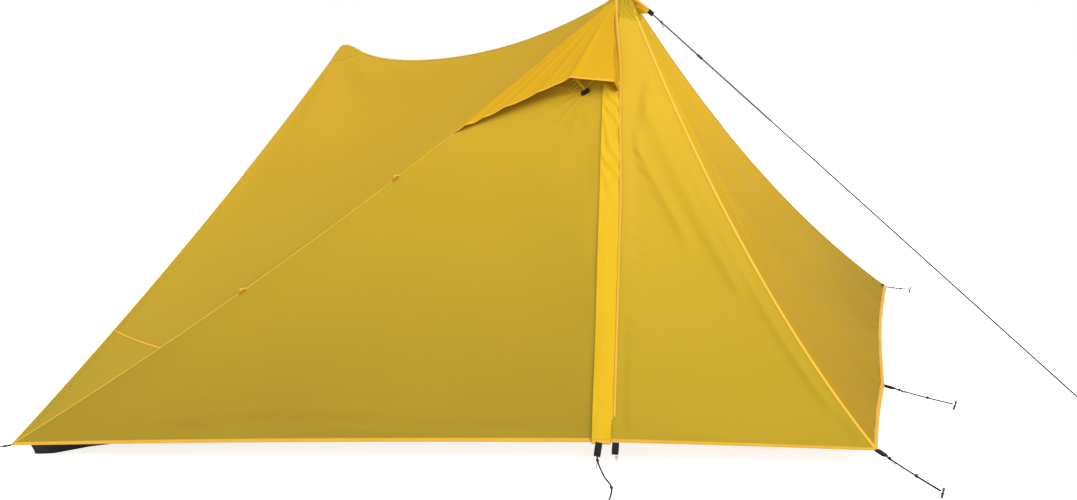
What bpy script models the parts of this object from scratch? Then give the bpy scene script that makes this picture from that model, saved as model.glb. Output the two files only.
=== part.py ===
"""A two-pole ridge tent pitched on trekking poles, with a door, a vent hood and a zip on each long side.

Metres, +Z up. The origin is on the ground under the middle of the tent. +X runs along the long
front side and +Y runs from the front to the rear. The rear side is the front side turned half
a turn about +Z, apart from the slack of two hips.
"""
import math

import bmesh
import bpy
import numpy as np
from mathutils import Matrix, Vector

# Outline of the fly
FLY_LENGTH = 2.70
FLY_DEPTH = 2.105
PEAK_HEIGHT = 1.302
HEM_HEIGHT = 0.050
PEAK_FROM_END = 0.713
PEAK_FROM_SIDE = 0.848

# Slack of the seams at mid length
RIDGE_SLACK = 0.120
DOOR_HIP_SLACK = 0.064
SIDE_HIP_SLACK = 0.136
RIGHT_END_HIP_SLACK = 0.073
LEFT_END_HIP_SLACK = 0.026
END_HEM_BULGE = 0.012

# Cloth
CLOTH = 0.0010
SEAM_GAP = 0.0004
PANEL_STEPS = 10

# Door and zip, measured from the right end of the front hem and up the slope of the front face
ZIP_FOOT_FROM_END = 0.719
ZIP_TOP_FROM_END = 0.765
ZIP_TOP_RISE = 1.150
FLAP_WIDTH = 0.052
FLAP_LIFT = 0.0095
FLAP_FLAT = 0.015
FLAP_SEAT = 0.0008
FLAP_OVERHANG = 0.008
FLAP_STEPS = 12
TAPE_WIDTH = 0.011
TAPE_THICKNESS = 0.0010
TAPE_END_MARGIN = 0.006
SLIDER_LENGTH = 0.014
SLIDER_WIDTH = 0.009
SLIDER_THICKNESS = 0.0030
SLIDER_LIFT = 0.0018
SLIDER_REST = 0.030
SLIDER_BEVEL = 0.0008

# Vent hood, its strut and the door ties
HOOD_LENGTH = 0.680
HOOD_PEAK_MARGIN = 0.045
HOOD_SEAT = 0.0019
HOOD_CORNER_FROM_END = 0.718
HOOD_CORNER_RISE = 1.130
HOOD_CORNER_LIFT = 0.040
HOOD_EDGE_BOW = 0.010
HOOD_PROP_SHARE = 0.75
HOOD_PROP_RISE = 0.046
HOOD_PROP_LIFT = 0.027
HOOD_STEPS = 8
STRUT_FOOT_FROM_END = 0.823
STRUT_FOOT_RISE = 1.139
STRUT_TIP_FROM_EDGE = 0.04
STRUT_TIP_GAP = 0.0033
STRUT_WIDTH = 0.008
STRUT_THICKNESS = 0.0025
STRUT_SEAT = 0.0016
STRUT_BEVEL = 0.0006
TIE_LOW_FROM_CORNER = 0.900
TIE_HIGH_FROM_CORNER = 1.530
TIE_LENGTH = 0.026
TIE_HEIGHT = 0.014
TIE_THICKNESS = 0.004
TIE_BEVEL = 0.0015
CAP_REACH = 0.110
CAP_SEAT = 0.0005

# Trekking poles
GRIP_RADIUS = 0.0165
GRIP_WAIST = 0.0140
GRIP_SWELL = 0.0157
GRIP_LENGTH = 0.150
GRIP_WAIST_DROP = 0.052
GRIP_SWELL_DROP = 0.093
GRIP_FOOT = 0.005
DOME_STEPS = 4
SHAFT_RADIUS = 0.0085
BORE_RADIUS = 0.0072
LOWER_RADIUS = 0.0068
LOCK_HEIGHT = 0.500
LOCK_LENGTH = 0.045
LOCK_RADIUS = 0.0125
LOCK_EASE = 0.004
BORE_DEPTH = 0.400
LOWER_INSERT = 0.120
BASKET_RADIUS = 0.026
BASKET_HEIGHT = 0.055
BASKET_THICKNESS = 0.006
BASKET_NECK = 0.010
COLLAR_RADIUS = 0.0088
TIP_RADIUS = 0.0040
TIP_LENGTH = 0.004
TIP_POINT_RADIUS = 0.0024
LEVER_THICKNESS = 0.0035
LEVER_HEIGHT = 0.026
LEVER_START = 90.0
LEVER_WRAP = 110.0
LEVER_STEPS = 6
ROUND_STEPS = 16

# Bathtub floor
FLOOR_INSET_END = 0.048
FLOOR_INSET_SIDE = 0.0725
FLOOR_POLE_GAP = 0.050
FLOOR_WALL = 0.070
STRAP_WIDTH = 0.012
STRAP_DROP = 0.0010

# Stakes, cords and webbing
STAKE_LENGTH = 0.160
STAKE_FIN = 0.0065
STAKE_FIN_THICKNESS = 0.0018
STAKE_POINT = 0.022
STAKE_POINT_SCALE = 0.12
STAKE_FINS = 3
STAKE_OUT = 0.028
STAKE_TIE = 0.015
STAKE_LEAN = 20.0
CORD_DIAMETER = 0.0025
CORD_GAP = 0.0004
CORD_SLACK = 0.04
CORD_POINTS = 64
CORD_STEP_DIAMETERS = 3.0
ROUTE_STEPS = 24
TAB_WIDTH = 0.015
TAB_THICKNESS = 0.0015
TAB_REACH = 0.047
TAB_GAP = 0.0003
PEAK_TAB_LENGTH = 0.105
PEAK_TAB_START = 0.012
GUY_DIAMETER = 0.0024
ADJUSTER_LENGTH = 0.026
ADJUSTER_RADIUS = 0.0045
ADJUSTER_FROM_PEAK = 0.225
ADJUSTER_STEPS = 10

# Where each cord is staked, as steps from its corner of the hem
FRONT_LEFT_STEP = (-0.200, 0.070)
FRONT_RIGHT_STEP = (0.135, -0.170)
REAR_RIGHT_STEP = (0.090, 0.100)
MID_RIGHT_STEP = (0.181, -0.078)
MID_RIGHT_FROM_CORNER = 0.565
DOOR_STAKE_STEP = (0.110, -0.290)
DOOR_TAB_FROM_ZIP = 0.013
GUY_STAKE = (1.871, -0.585)

# Shading angle, and the tolerances of the sums on seams
SHARP_ANGLE = 35.0
POINTS_PER_METRE = 1e5
TINY_SHARE = 1e-9
NEARLY_FLAT = 1e-3

YELLOW = (0.60, 0.39, 0.035)
BRIGHT_YELLOW = (0.85, 0.55, 0.045)
BLACK = (0.012, 0.012, 0.013)
GREY = (0.09, 0.09, 0.09)
METAL = (0.10, 0.10, 0.11)
ORANGE = (0.80, 0.42, 0.04)


def clear_scene():
    for item in list(bpy.data.objects):
        bpy.data.objects.remove(item, do_unlink=True)


def make_material(name, colour, roughness, metallic):
    material = bpy.data.materials.new(name)
    material.use_nodes = True
    shader = material.node_tree.nodes["Principled BSDF"]
    shader.inputs["Base Color"].default_value = (*colour, 1.0)
    shader.inputs["Roughness"].default_value = roughness
    shader.inputs["Metallic"].default_value = metallic
    return material


def vec(x, y, z):
    return np.array((x, y, z), dtype=float)


def unit(v):
    return v / np.linalg.norm(v)


def half_turn(point):
    """The same point on the rear side: half a turn about +Z."""
    return np.asarray(point) * (-1.0, -1.0, 1.0)


SIDES = {"front": np.asarray, "rear": half_turn}


def add_object(name, mesh, material, origin=(0.0, 0.0, 0.0), smooth=True):
    """Link a mesh whose points are in world metres, with its origin moved to the given point."""
    place = Vector(origin)
    mesh.transform(Matrix.Translation(-place))
    item = bpy.data.objects.new(name, mesh)
    item.location = place
    mesh.materials.append(material)
    if smooth:
        mesh.shade_smooth()
        mesh.set_sharp_from_angle(angle=math.radians(SHARP_ANGLE))
    bpy.context.scene.collection.objects.link(item)
    return item


def mesh_from(name, points, faces):
    """A mesh from points and faces, with its faces turned outwards."""
    mesh = bpy.data.meshes.new(name)
    mesh.from_pydata([tuple(p) for p in points], [], faces)
    work = bmesh.new()
    work.from_mesh(mesh)
    bmesh.ops.recalc_face_normals(work, faces=work.faces)
    work.to_mesh(mesh)
    work.free()
    return mesh


def turned_copy(item, name):
    """The rear twin of a front piece: its object turned half a turn about +Z."""
    twin = item.copy()
    twin.name = name
    twin.location = Vector(half_turn(item.location))
    twin.rotation_euler = (0.0, 0.0, math.pi)
    bpy.context.scene.collection.objects.link(twin)
    return twin


# The corners of the hem and the two peaks
HALF_LENGTH = FLY_LENGTH / 2
HALF_DEPTH = FLY_DEPTH / 2
FRONT_LEFT = vec(-HALF_LENGTH, -HALF_DEPTH, HEM_HEIGHT)
FRONT_RIGHT = vec(HALF_LENGTH, -HALF_DEPTH, HEM_HEIGHT)
REAR_RIGHT = half_turn(FRONT_LEFT)
REAR_LEFT = half_turn(FRONT_RIGHT)
FRONT_PEAK = vec(HALF_LENGTH - PEAK_FROM_END, -HALF_DEPTH + PEAK_FROM_SIDE, PEAK_HEIGHT)
REAR_PEAK = half_turn(FRONT_PEAK)

# Axes of the front face: along the hem, up the slope and out of the cloth
ALONG = vec(1.0, 0.0, 0.0)
SLOPE = unit(vec(0.0, PEAK_FROM_SIDE, PEAK_HEIGHT - HEM_HEIGHT))
OUT = np.cross(ALONG, SLOPE)
HEM_MIDDLE = vec(0.0, -HALF_DEPTH, HEM_HEIGHT)


def on_front(x, rise, lift=0.0):
    """A point of the front face: x along the hem, rise up the slope, lift out of the cloth."""
    return HEM_MIDDLE + x * ALONG + rise * SLOPE + lift * OUT


ZIP_FOOT_X = HALF_LENGTH - ZIP_FOOT_FROM_END
ZIP_TOP_X = HALF_LENGTH - ZIP_TOP_FROM_END
ZIP_FOOT = on_front(ZIP_FOOT_X, 0.0)
ZIP_TOP = on_front(ZIP_TOP_X, ZIP_TOP_RISE)
ZIP_DIRECTION = unit(ZIP_TOP - ZIP_FOOT)
ZIP_LENGTH = float(np.linalg.norm(ZIP_TOP - ZIP_FOOT))


def outward(a, b, c):
    """The normal of a triangle that points away from the middle of the tent."""
    normal = unit(np.cross(b - a, c - a))
    inside = vec(0.0, 0.0, HEM_HEIGHT)
    return normal if np.dot(normal, a - inside) > 0 else -normal


FRONT_OUT = outward(FRONT_LEFT, FRONT_RIGHT, FRONT_PEAK)
ROOF_OUT = outward(FRONT_LEFT, FRONT_PEAK, REAR_PEAK)
RIGHT_OUT = outward(FRONT_RIGHT, REAR_RIGHT, FRONT_PEAK)
REAR_ROOF_OUT = half_turn(ROOF_OUT)
LEFT_OUT = half_turn(RIGHT_OUT)

# A slack hip hangs inwards between its two panels; the ridge and the side hip drop straight down
DOOR_HIP_SAG = -DOOR_HIP_SLACK * unit(FRONT_OUT + ROOF_OUT)
SIDE_HIP_SAG = vec(0.0, 0.0, -SIDE_HIP_SLACK)
RIGHT_END_HIP_SAG = -RIGHT_END_HIP_SLACK * unit(REAR_ROOF_OUT + RIGHT_OUT)
LEFT_END_HIP_SAG = -LEFT_END_HIP_SLACK * unit(ROOF_OUT + LEFT_OUT)
RIDGE_SAG = vec(0.0, 0.0, -RIDGE_SLACK)
RIGHT_HEM_SAG = vec(END_HEM_BULGE, 0.0, 0.0)
NO_SAG = vec(0.0, 0.0, 0.0)


def seam(start, end, sag):
    """A seam as a parabola: the chord plus 4 t (1 - t) times its sag."""
    def at(t):
        return start + (end - start) * t + sag * (4.0 * t * (1.0 - t))
    return at


def bent_line(start, bend, end, share):
    """Two straight runs that meet at the bend, which lies at the given share of the way."""
    def at(t):
        if t <= share:
            return start + (bend - start) * (t / share)
        return bend + (end - bend) * ((t - share) / (1.0 - share))
    return at


def triangle_grid(n):
    """The rows (i, j) of a three-sided grid of n steps, its triangles and its border in order."""
    rows = [(i, j) for i in range(n + 1) for j in range(n + 1 - i)]
    index = {key: k for k, key in enumerate(rows)}
    triangles = []
    for i in range(n):
        for j in range(n - i):
            a, b, c = index[(i, j)], index[(i + 1, j)], index[(i, j + 1)]
            triangles.append((a, b, c))
            if i + j < n - 1:
                triangles.append((b, index[(i + 1, j + 1)], c))
    border = [(i, n - i) for i in range(n, 0, -1)]
    border += [(0, j) for j in range(n, 0, -1)]
    border += [(i, 0) for i in range(n)]
    return rows, triangles, [index[key] for key in border]


def sheet_faces(triangles, rim, count):
    """The faces of a closed sheet: its first side, its second side turned over, and the rim."""
    faces = list(triangles) + [(c + count, b + count, a + count) for a, b, c in triangles]
    for k, a in enumerate(rim):
        b = rim[(k + 1) % len(rim)]
        faces.append((a, b, b + count, a + count))
    return faces


class Panel:
    """A three-sided cloth panel between three seams.

    A point with shares u of the three corners is the flat triangle's point plus, for each
    seam, its distance from the straight chord there times the square of the two corners' shares.
    """

    def __init__(self, name, corners, seams, material):
        self.name = name
        self.corners = corners
        self.seams = seams
        self.material = material
        self.rows, self.triangles, self.rim = triangle_grid(PANEL_STEPS)

    def point(self, shares):
        total = sum(s * c for s, c in zip(shares, self.corners))
        for k in range(3):
            first, second = shares[k], shares[(k + 1) % 3]
            both = first + second
            if both > TINY_SHARE:
                t = second / both
                chord = self.corners[k] + (self.corners[(k + 1) % 3] - self.corners[k]) * t
                total = total + (self.seams[k](t) - chord) * both ** 2
        return total

    def heights(self):
        """The height of the flat triangle from each corner to the side across from it."""
        a, b, c = self.corners
        double_area = np.linalg.norm(np.cross(b - a, c - a))
        return [double_area / np.linalg.norm(self.corners[(k + 2) % 3] - self.corners[(k + 1) % 3])
                for k in range(3)]

    def grid(self, inset):
        """Points of the panel, drawn in from its three sides by the inset."""
        margin = [inset / h for h in self.heights()]
        rest = 1.0 - sum(margin)
        points = []
        for i, j in self.rows:
            plain = (i / PANEL_STEPS, j / PANEL_STEPS, (PANEL_STEPS - i - j) / PANEL_STEPS)
            points.append(self.point([m + rest * s for m, s in zip(margin, plain)]))
        return np.array(points)

    def outward_normals(self):
        """A normal at each point, as the area-weighted mean of the triangles round it."""
        points = self.grid(0.0)
        faces = np.array(self.triangles)
        cross = np.cross(points[faces[:, 1]] - points[faces[:, 0]],
                         points[faces[:, 2]] - points[faces[:, 0]])
        normals = np.zeros_like(points)
        for k in range(3):
            np.add.at(normals, faces[:, k], cross)
        normals /= np.linalg.norm(normals, axis=1)[:, None]
        middle = points.mean(axis=0)
        if np.dot(normals.sum(axis=0), middle - vec(0.0, 0.0, HEM_HEIGHT)) < 0:
            normals = -normals
        return points, normals

    def build(self, offsets):
        """The panel's closed solid: the outer cloth face, the inner one and the rim."""
        outer = self.grid(SEAM_GAP / 2)
        inner = outer + offsets
        faces = sheet_faces(self.triangles, self.rim, len(outer))
        mesh = mesh_from(self.name, np.vstack((outer, inner)), faces)
        return add_object(self.name, mesh, self.material)


def inner_offsets(panels):
    """The step from each outer point to the inner face.

    Points that panels share move so that they lie one cloth thickness inside every one of them.
    """
    shared = {}
    data = []
    for panel in panels:
        points, normals = panel.outward_normals()
        keys = [tuple(np.round(p * POINTS_PER_METRE).astype(int)) for p in points]
        data.append((keys, normals))
        for key, normal in zip(keys, normals):
            shared.setdefault(key, []).append(normal)
    steps = {}
    for key, normals in shared.items():
        target = np.full(len(normals), -CLOTH)
        steps[key] = np.linalg.lstsq(np.array(normals), target, rcond=NEARLY_FLAT)[0]
    return [np.array([steps[key] for key in keys]) for keys, _ in data]


def fly_panels(cloth, door_cloth):
    """The ten panels of the fly. Each seam is used by both of the panels that it joins."""
    door_hip = seam(FRONT_LEFT, FRONT_PEAK, DOOR_HIP_SAG)
    side_hip = seam(FRONT_RIGHT, FRONT_PEAK, SIDE_HIP_SAG)
    right_hip = seam(REAR_RIGHT, FRONT_PEAK, RIGHT_END_HIP_SAG)
    left_hip = seam(FRONT_LEFT, REAR_PEAK, LEFT_END_HIP_SAG)
    rear_door_hip = seam(REAR_RIGHT, REAR_PEAK, half_turn(DOOR_HIP_SAG))
    rear_side_hip = seam(REAR_LEFT, REAR_PEAK, half_turn(SIDE_HIP_SAG))
    ridge = seam(FRONT_PEAK, REAR_PEAK, RIDGE_SAG)
    right_hem = seam(FRONT_RIGHT, REAR_RIGHT, RIGHT_HEM_SAG)
    left_hem = seam(REAR_LEFT, FRONT_LEFT, half_turn(RIGHT_HEM_SAG))

    def straight(a, b):
        return seam(a, b, NO_SAG)

    def backwards(curve):
        return lambda t: curve(1.0 - t)

    zip_share = ZIP_LENGTH / (ZIP_LENGTH + np.linalg.norm(FRONT_PEAK - ZIP_TOP))
    kink = round(PANEL_STEPS * zip_share) / PANEL_STEPS
    panels = [
        Panel("fly_front_roof", (FRONT_LEFT, FRONT_PEAK, REAR_PEAK),
              (door_hip, ridge, backwards(left_hip)), cloth),
        Panel("fly_rear_roof", (REAR_RIGHT, REAR_PEAK, FRONT_PEAK),
              (rear_door_hip, backwards(ridge), backwards(right_hip)), cloth),
        Panel("fly_right_end", (FRONT_RIGHT, REAR_RIGHT, FRONT_PEAK),
              (right_hem, right_hip, backwards(side_hip)), cloth),
        Panel("fly_left_end", (REAR_LEFT, FRONT_LEFT, REAR_PEAK),
              (left_hem, left_hip, backwards(rear_side_hip)), cloth),
    ]
    side_hips = {"front": (door_hip, side_hip), "rear": (rear_door_hip, rear_side_hip)}
    for side, turn in SIDES.items():
        door_side_hip, plain_hip = side_hips[side]
        left, right, peak = turn(FRONT_LEFT), turn(FRONT_RIGHT), turn(FRONT_PEAK)
        foot, top = turn(ZIP_FOOT), turn(ZIP_TOP)
        zip_side = bent_line(foot, top, peak, kink)
        panels += [
            Panel(f"{side}_side_panel", (foot, right, peak),
                  (straight(foot, right), plain_hip, backwards(zip_side)), cloth),
            Panel(f"{side}_gusset", (left, top, peak),
                  (straight(left, top), straight(top, peak), backwards(door_side_hip)), door_cloth),
            Panel(f"{side}_door", (left, foot, top),
                  (straight(left, foot), straight(foot, top), straight(top, left)), door_cloth),
        ]
    return panels


def side_depth(offset, rise):
    """How far the slack side hip draws the side panel in, that far right of the zip and up the slope."""
    peak_x = float(np.dot(FRONT_PEAK - HEM_MIDDLE, ALONG))
    peak_share = max(rise, 0.0) / float(np.dot(FRONT_PEAK - HEM_MIDDLE, SLOPE))
    zip_x = ZIP_FOOT_X + (ZIP_TOP_X - ZIP_FOOT_X) * rise / ZIP_TOP_RISE
    hip_x = HALF_LENGTH + (peak_x - HALF_LENGTH) * peak_share
    right_share = (1.0 - peak_share) * offset / (hip_x - zip_x)
    return 4.0 * right_share * peak_share * float(np.dot(-SIDE_HIP_SAG, FRONT_OUT))


def strip_on_side(name, material, profile, low, high, steps):
    """A strip along the zip, from a profile of (distance right of the zip, underside, top) in metres.

    Low and high are distances along the zip from its foot. Lifts are counted from the side panel.
    """
    points = []
    count = len(profile)
    for k in range(steps + 1):
        along = low + (high - low) * k / steps
        base = ZIP_FOOT + along * ZIP_DIRECTION
        x0, rise = float(np.dot(base - HEM_MIDDLE, ALONG)), float(np.dot(base - HEM_MIDDLE, SLOPE))
        for level in (1, 2):
            for row in profile:
                sink = side_depth(row[0], rise)
                points.append(on_front(x0 + row[0], rise, row[level] - sink))
    faces = []
    ring = list(range(count)) + list(range(2 * count - 1, count - 1, -1))
    size = 2 * count
    for k in range(steps):
        for n, a in enumerate(ring):
            b = ring[(n + 1) % size]
            faces.append((a + k * size, b + k * size, b + (k + 1) * size, a + (k + 1) * size))
    for n in range(count - 1):
        faces.append((n, n + 1, count + n + 1, count + n))
        last = steps * size
        faces.append((last + n, last + n + 1, last + count + n + 1, last + count + n))
    return add_object(name, mesh_from(name, points, faces), material)


def storm_flap(material):
    """The flap over the zip: raised at its free edge, sewn down at its other edge."""
    profile = [
        (0.0, FLAP_LIFT, FLAP_LIFT + CLOTH),
        (FLAP_FLAT, FLAP_LIFT, FLAP_LIFT + CLOTH),
        ((FLAP_FLAT + FLAP_WIDTH) / 2, FLAP_LIFT / 2, FLAP_LIFT / 2 + CLOTH),
        (FLAP_WIDTH, FLAP_SEAT, FLAP_SEAT + CLOTH),
    ]
    return strip_on_side("front_storm_flap", material, profile, -FLAP_OVERHANG, ZIP_LENGTH, FLAP_STEPS)


def zip_tape(material):
    profile = [
        (SEAM_GAP, SEAM_GAP, SEAM_GAP + TAPE_THICKNESS),
        (TAPE_WIDTH, SEAM_GAP, SEAM_GAP + TAPE_THICKNESS),
    ]
    high = ZIP_LENGTH - TAPE_END_MARGIN
    return strip_on_side("front_zip", material, profile, TAPE_END_MARGIN, high, FLAP_STEPS)


def box_mesh(name, centre, axes, size, bevel=0.0):
    """A box with its sides along three axes, with rounded edges where the bevel isn't zero."""
    work = bmesh.new()
    bmesh.ops.create_cube(work, size=1.0)
    bmesh.ops.scale(work, vec=Vector(size), verts=work.verts)
    if bevel:
        bmesh.ops.bevel(work, geom=work.edges[:], offset=bevel, segments=2, affect="EDGES", profile=0.5)
    turn = Matrix([list(a) for a in axes]).transposed().to_4x4()
    bmesh.ops.transform(work, matrix=Matrix.Translation(Vector(centre)) @ turn, verts=work.verts)
    mesh = bpy.data.meshes.new(name)
    bmesh.ops.recalc_face_normals(work, faces=work.faces)
    work.to_mesh(mesh)
    work.free()
    return mesh


def zip_slider(material):
    across = unit(np.cross(ZIP_DIRECTION, FRONT_OUT))
    base = ZIP_FOOT + SLIDER_REST * ZIP_DIRECTION
    middle = base + (SEAM_GAP + SLIDER_WIDTH / 2) * across + (SLIDER_LIFT + SLIDER_THICKNESS / 2) * FRONT_OUT
    size = (SLIDER_WIDTH, SLIDER_LENGTH, SLIDER_THICKNESS)
    mesh = box_mesh("front_zip_slider", middle, (across, ZIP_DIRECTION, FRONT_OUT), size, SLIDER_BEVEL)
    return add_object("front_zip_slider", mesh, material, origin=tuple(base))


def hip_point(distance):
    """The point of the faceted door hip that far from the front left corner along its chord."""
    share = distance / float(np.linalg.norm(FRONT_PEAK - FRONT_LEFT)) * PANEL_STEPS
    first = math.floor(share)
    curve = seam(FRONT_LEFT, FRONT_PEAK, DOOR_HIP_SAG)
    low, high = curve(first / PANEL_STEPS), curve((first + 1) / PANEL_STEPS)
    return low + (high - low) * (share - first)


def hood_corners():
    """The hood's tip and upper end on the hip, and its free lower corner, on its underside."""
    hip_length = float(np.linalg.norm(FRONT_PEAK - FRONT_LEFT))
    lift = (HOOD_SEAT + SEAM_GAP) * unit(FRONT_OUT + ROOF_OUT)
    tip = hip_point(hip_length - HOOD_PEAK_MARGIN - HOOD_LENGTH) + lift
    upper = hip_point(hip_length - HOOD_PEAK_MARGIN) + lift
    corner = on_front(HALF_LENGTH - HOOD_CORNER_FROM_END, HOOD_CORNER_RISE, HOOD_CORNER_LIFT)
    return tip, corner, upper


def hood_surface():
    """The hood's underside as a function of the shares of its tip and corner, and its normal.

    The stay pushes the free edge up and out, most at its own share of the way along the edge.
    """
    tip, corner, upper = hood_corners()
    normal = unit(np.cross(corner - tip, upper - tip))
    if np.dot(normal, FRONT_OUT) < 0:
        normal = -normal

    prop = HOOD_PROP_RISE * SLOPE + HOOD_PROP_LIFT * OUT

    def under(a, b):
        c = 1.0 - a - b
        along = b / (a + b) if a + b > 0.0 else 0.0
        share = min(along / HOOD_PROP_SHARE, (1.0 - along) / (1.0 - HOOD_PROP_SHARE))
        flat = a * tip + b * corner + c * upper
        return flat + prop * share * (a + b) ** 2 + HOOD_EDGE_BOW * 4.0 * b * c * normal
    return under, normal


def vent_hood(material):
    """A stiffened visor: a three-sided sheet with two free edges, propped over the vent."""
    surface, normal = hood_surface()
    rows, triangles, rim = triangle_grid(HOOD_STEPS)
    under = np.array([surface(i / HOOD_STEPS, j / HOOD_STEPS) for i, j in rows])
    points = np.vstack((under, under + CLOTH * normal))
    mesh = mesh_from("front_vent_hood", points, sheet_faces(triangles, rim, len(under)))
    return add_object("front_vent_hood", mesh, material, origin=tuple(surface(1.0, 0.0)))


def strut_ends():
    """The foot of the hood's stay on the gusset and its tip, a clearance below the hood."""
    surface, normal = hood_surface()
    foot = on_front(HALF_LENGTH - STRUT_FOOT_FROM_END, STRUT_FOOT_RISE, STRUT_SEAT)
    edge = 1.0 - STRUT_TIP_FROM_EDGE
    tip = surface(edge * (1.0 - HOOD_PROP_SHARE), edge * HOOD_PROP_SHARE) - STRUT_TIP_GAP * normal
    return foot, tip


def vent_strut(material):
    """The short stay that props the hood, standing on the gusset."""
    foot, tip = strut_ends()
    rise = unit(tip - foot)
    across = unit(np.cross(rise, FRONT_OUT))
    flat = np.cross(across, rise)
    size = (STRUT_WIDTH, float(np.linalg.norm(tip - foot)), STRUT_THICKNESS)
    mesh = box_mesh("front_vent_strut", (foot + tip) / 2, (across, rise, flat), size, STRUT_BEVEL)
    return add_object("front_vent_strut", mesh, material, origin=tuple(foot))


def door_tie(name, distance, material):
    """A small loop on the hip that holds the rolled door."""
    middle = hip_point(distance)
    along = unit(hip_point(distance + TIE_LENGTH) - hip_point(distance - TIE_LENGTH))
    up = unit(FRONT_OUT + ROOF_OUT)
    up = unit(up - np.dot(up, along) * along)
    across = np.cross(along, up)
    centre = middle + (TIE_HEIGHT / 2 + SEAM_GAP) * up
    size = (TIE_LENGTH, TIE_THICKNESS, TIE_HEIGHT)
    mesh = box_mesh(name, centre, (along, across, up), size, TIE_BEVEL)
    return add_object(name, mesh, material)


def peak_seams(side):
    """A peak and the five seams that run down from it, in order round it."""
    turn = SIDES[side]
    peak = turn(FRONT_PEAK)
    end_hip_sag = RIGHT_END_HIP_SAG if side == "front" else LEFT_END_HIP_SAG
    return peak, [
        seam(peak, turn(FRONT_LEFT), turn(DOOR_HIP_SAG)),
        seam(peak, turn(ZIP_TOP), NO_SAG),
        seam(peak, turn(FRONT_RIGHT), turn(SIDE_HIP_SAG)),
        seam(peak, turn(REAR_RIGHT), end_hip_sag),
        seam(peak, turn(REAR_PEAK), RIDGE_SAG),
    ]


def first_seam_points(side, reach):
    """Points on the first facets of a peak's seams, no farther from the peak than the reach."""
    peak, seams = peak_seams(side)
    points = []
    for curve in seams:
        step = curve(1.0 / PANEL_STEPS) - peak
        points.append(peak + unit(step) * min(reach, float(np.linalg.norm(step))))
    return peak, points


def lift_step(peak, points, k, lift):
    """The step that lifts a seam point clear of the cap's two faces that meet there."""
    normals = []
    for a, b in ((k - 1, k), (k, (k + 1) % len(points))):
        normals.append(outward(peak, points[a], points[b]))
    return np.linalg.lstsq(np.array(normals), np.full(2, lift), rcond=NEARLY_FLAT)[0]


def peak_cap(side, material):
    """A reinforcement over the peak, lying a little above the five panels that meet there."""
    peak, ring = first_seam_points(side, CAP_REACH)
    faces_out = np.array([outward(peak, ring[k - 1], ring[k]) for k in range(len(ring))])
    peak_step = np.linalg.lstsq(faces_out, np.ones(len(ring)), rcond=NEARLY_FLAT)[0]
    points = []
    for lift in (CAP_SEAT, CAP_SEAT + CLOTH):
        points.append(peak + peak_step * lift)
        for k, place in enumerate(ring):
            points.append(place + lift_step(peak, ring, k, lift))
    count = len(ring) + 1
    faces = []
    for k in range(1, count):
        after = k % (count - 1) + 1
        faces.append((0, k, after))
        faces.append((count, count + after, count + k))
        faces.append((k, after, count + after, count + k))
    name = f"{side}_peak_cap"
    return add_object(name, mesh_from(name, points, faces), material)


def turned_solid(name, profile, material, origin, steps=ROUND_STEPS, axis=None):
    """A solid of revolution. The profile lists (radius, height) down the outside and, for a bore,
    up the inside; a radius of zero lies on the axis. The heights count from the origin."""
    direction = vec(0.0, 0.0, 1.0) if axis is None else unit(axis)
    side = unit(np.cross(direction, vec(0.0, 1.0, 0.0) if abs(direction[1]) < 0.9 else ALONG))
    other = np.cross(direction, side)
    points, rings = [], []
    for radius, height in profile:
        centre = np.asarray(origin) + height * direction
        if radius == 0.0:
            rings.append([len(points)])
            points.append(centre)
            continue
        start = len(points)
        for k in range(steps):
            angle = 2.0 * math.pi * k / steps
            points.append(centre + radius * (math.cos(angle) * side + math.sin(angle) * other))
        rings.append(list(range(start, start + steps)))
    closed = profile[0][0] > 0.0
    pairs = list(zip(rings, rings[1:] + rings[:1])) if closed else list(zip(rings, rings[1:]))
    faces = []
    for first, second in pairs:
        for k in range(steps):
            after = (k + 1) % steps
            if len(first) == 1:
                faces.append((first[0], second[k], second[after]))
            elif len(second) == 1:
                faces.append((first[k], second[0], first[after]))
            else:
                faces.append((first[k], second[k], second[after], first[after]))
    return add_object(name, mesh_from(name, points, faces), material, origin=tuple(origin))


def grip_top(side):
    """The height of a grip's domed top, where the dome just clears the cloth of its peak."""
    clear = GRIP_RADIUS + CLOTH + SEAM_GAP
    peak, ring = first_seam_points(side, CAP_REACH)
    drops = [clear / outward(peak, ring[k - 1], ring[k])[2] for k in range(len(ring))]
    return PEAK_HEIGHT - max(drops) + GRIP_RADIUS


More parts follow.
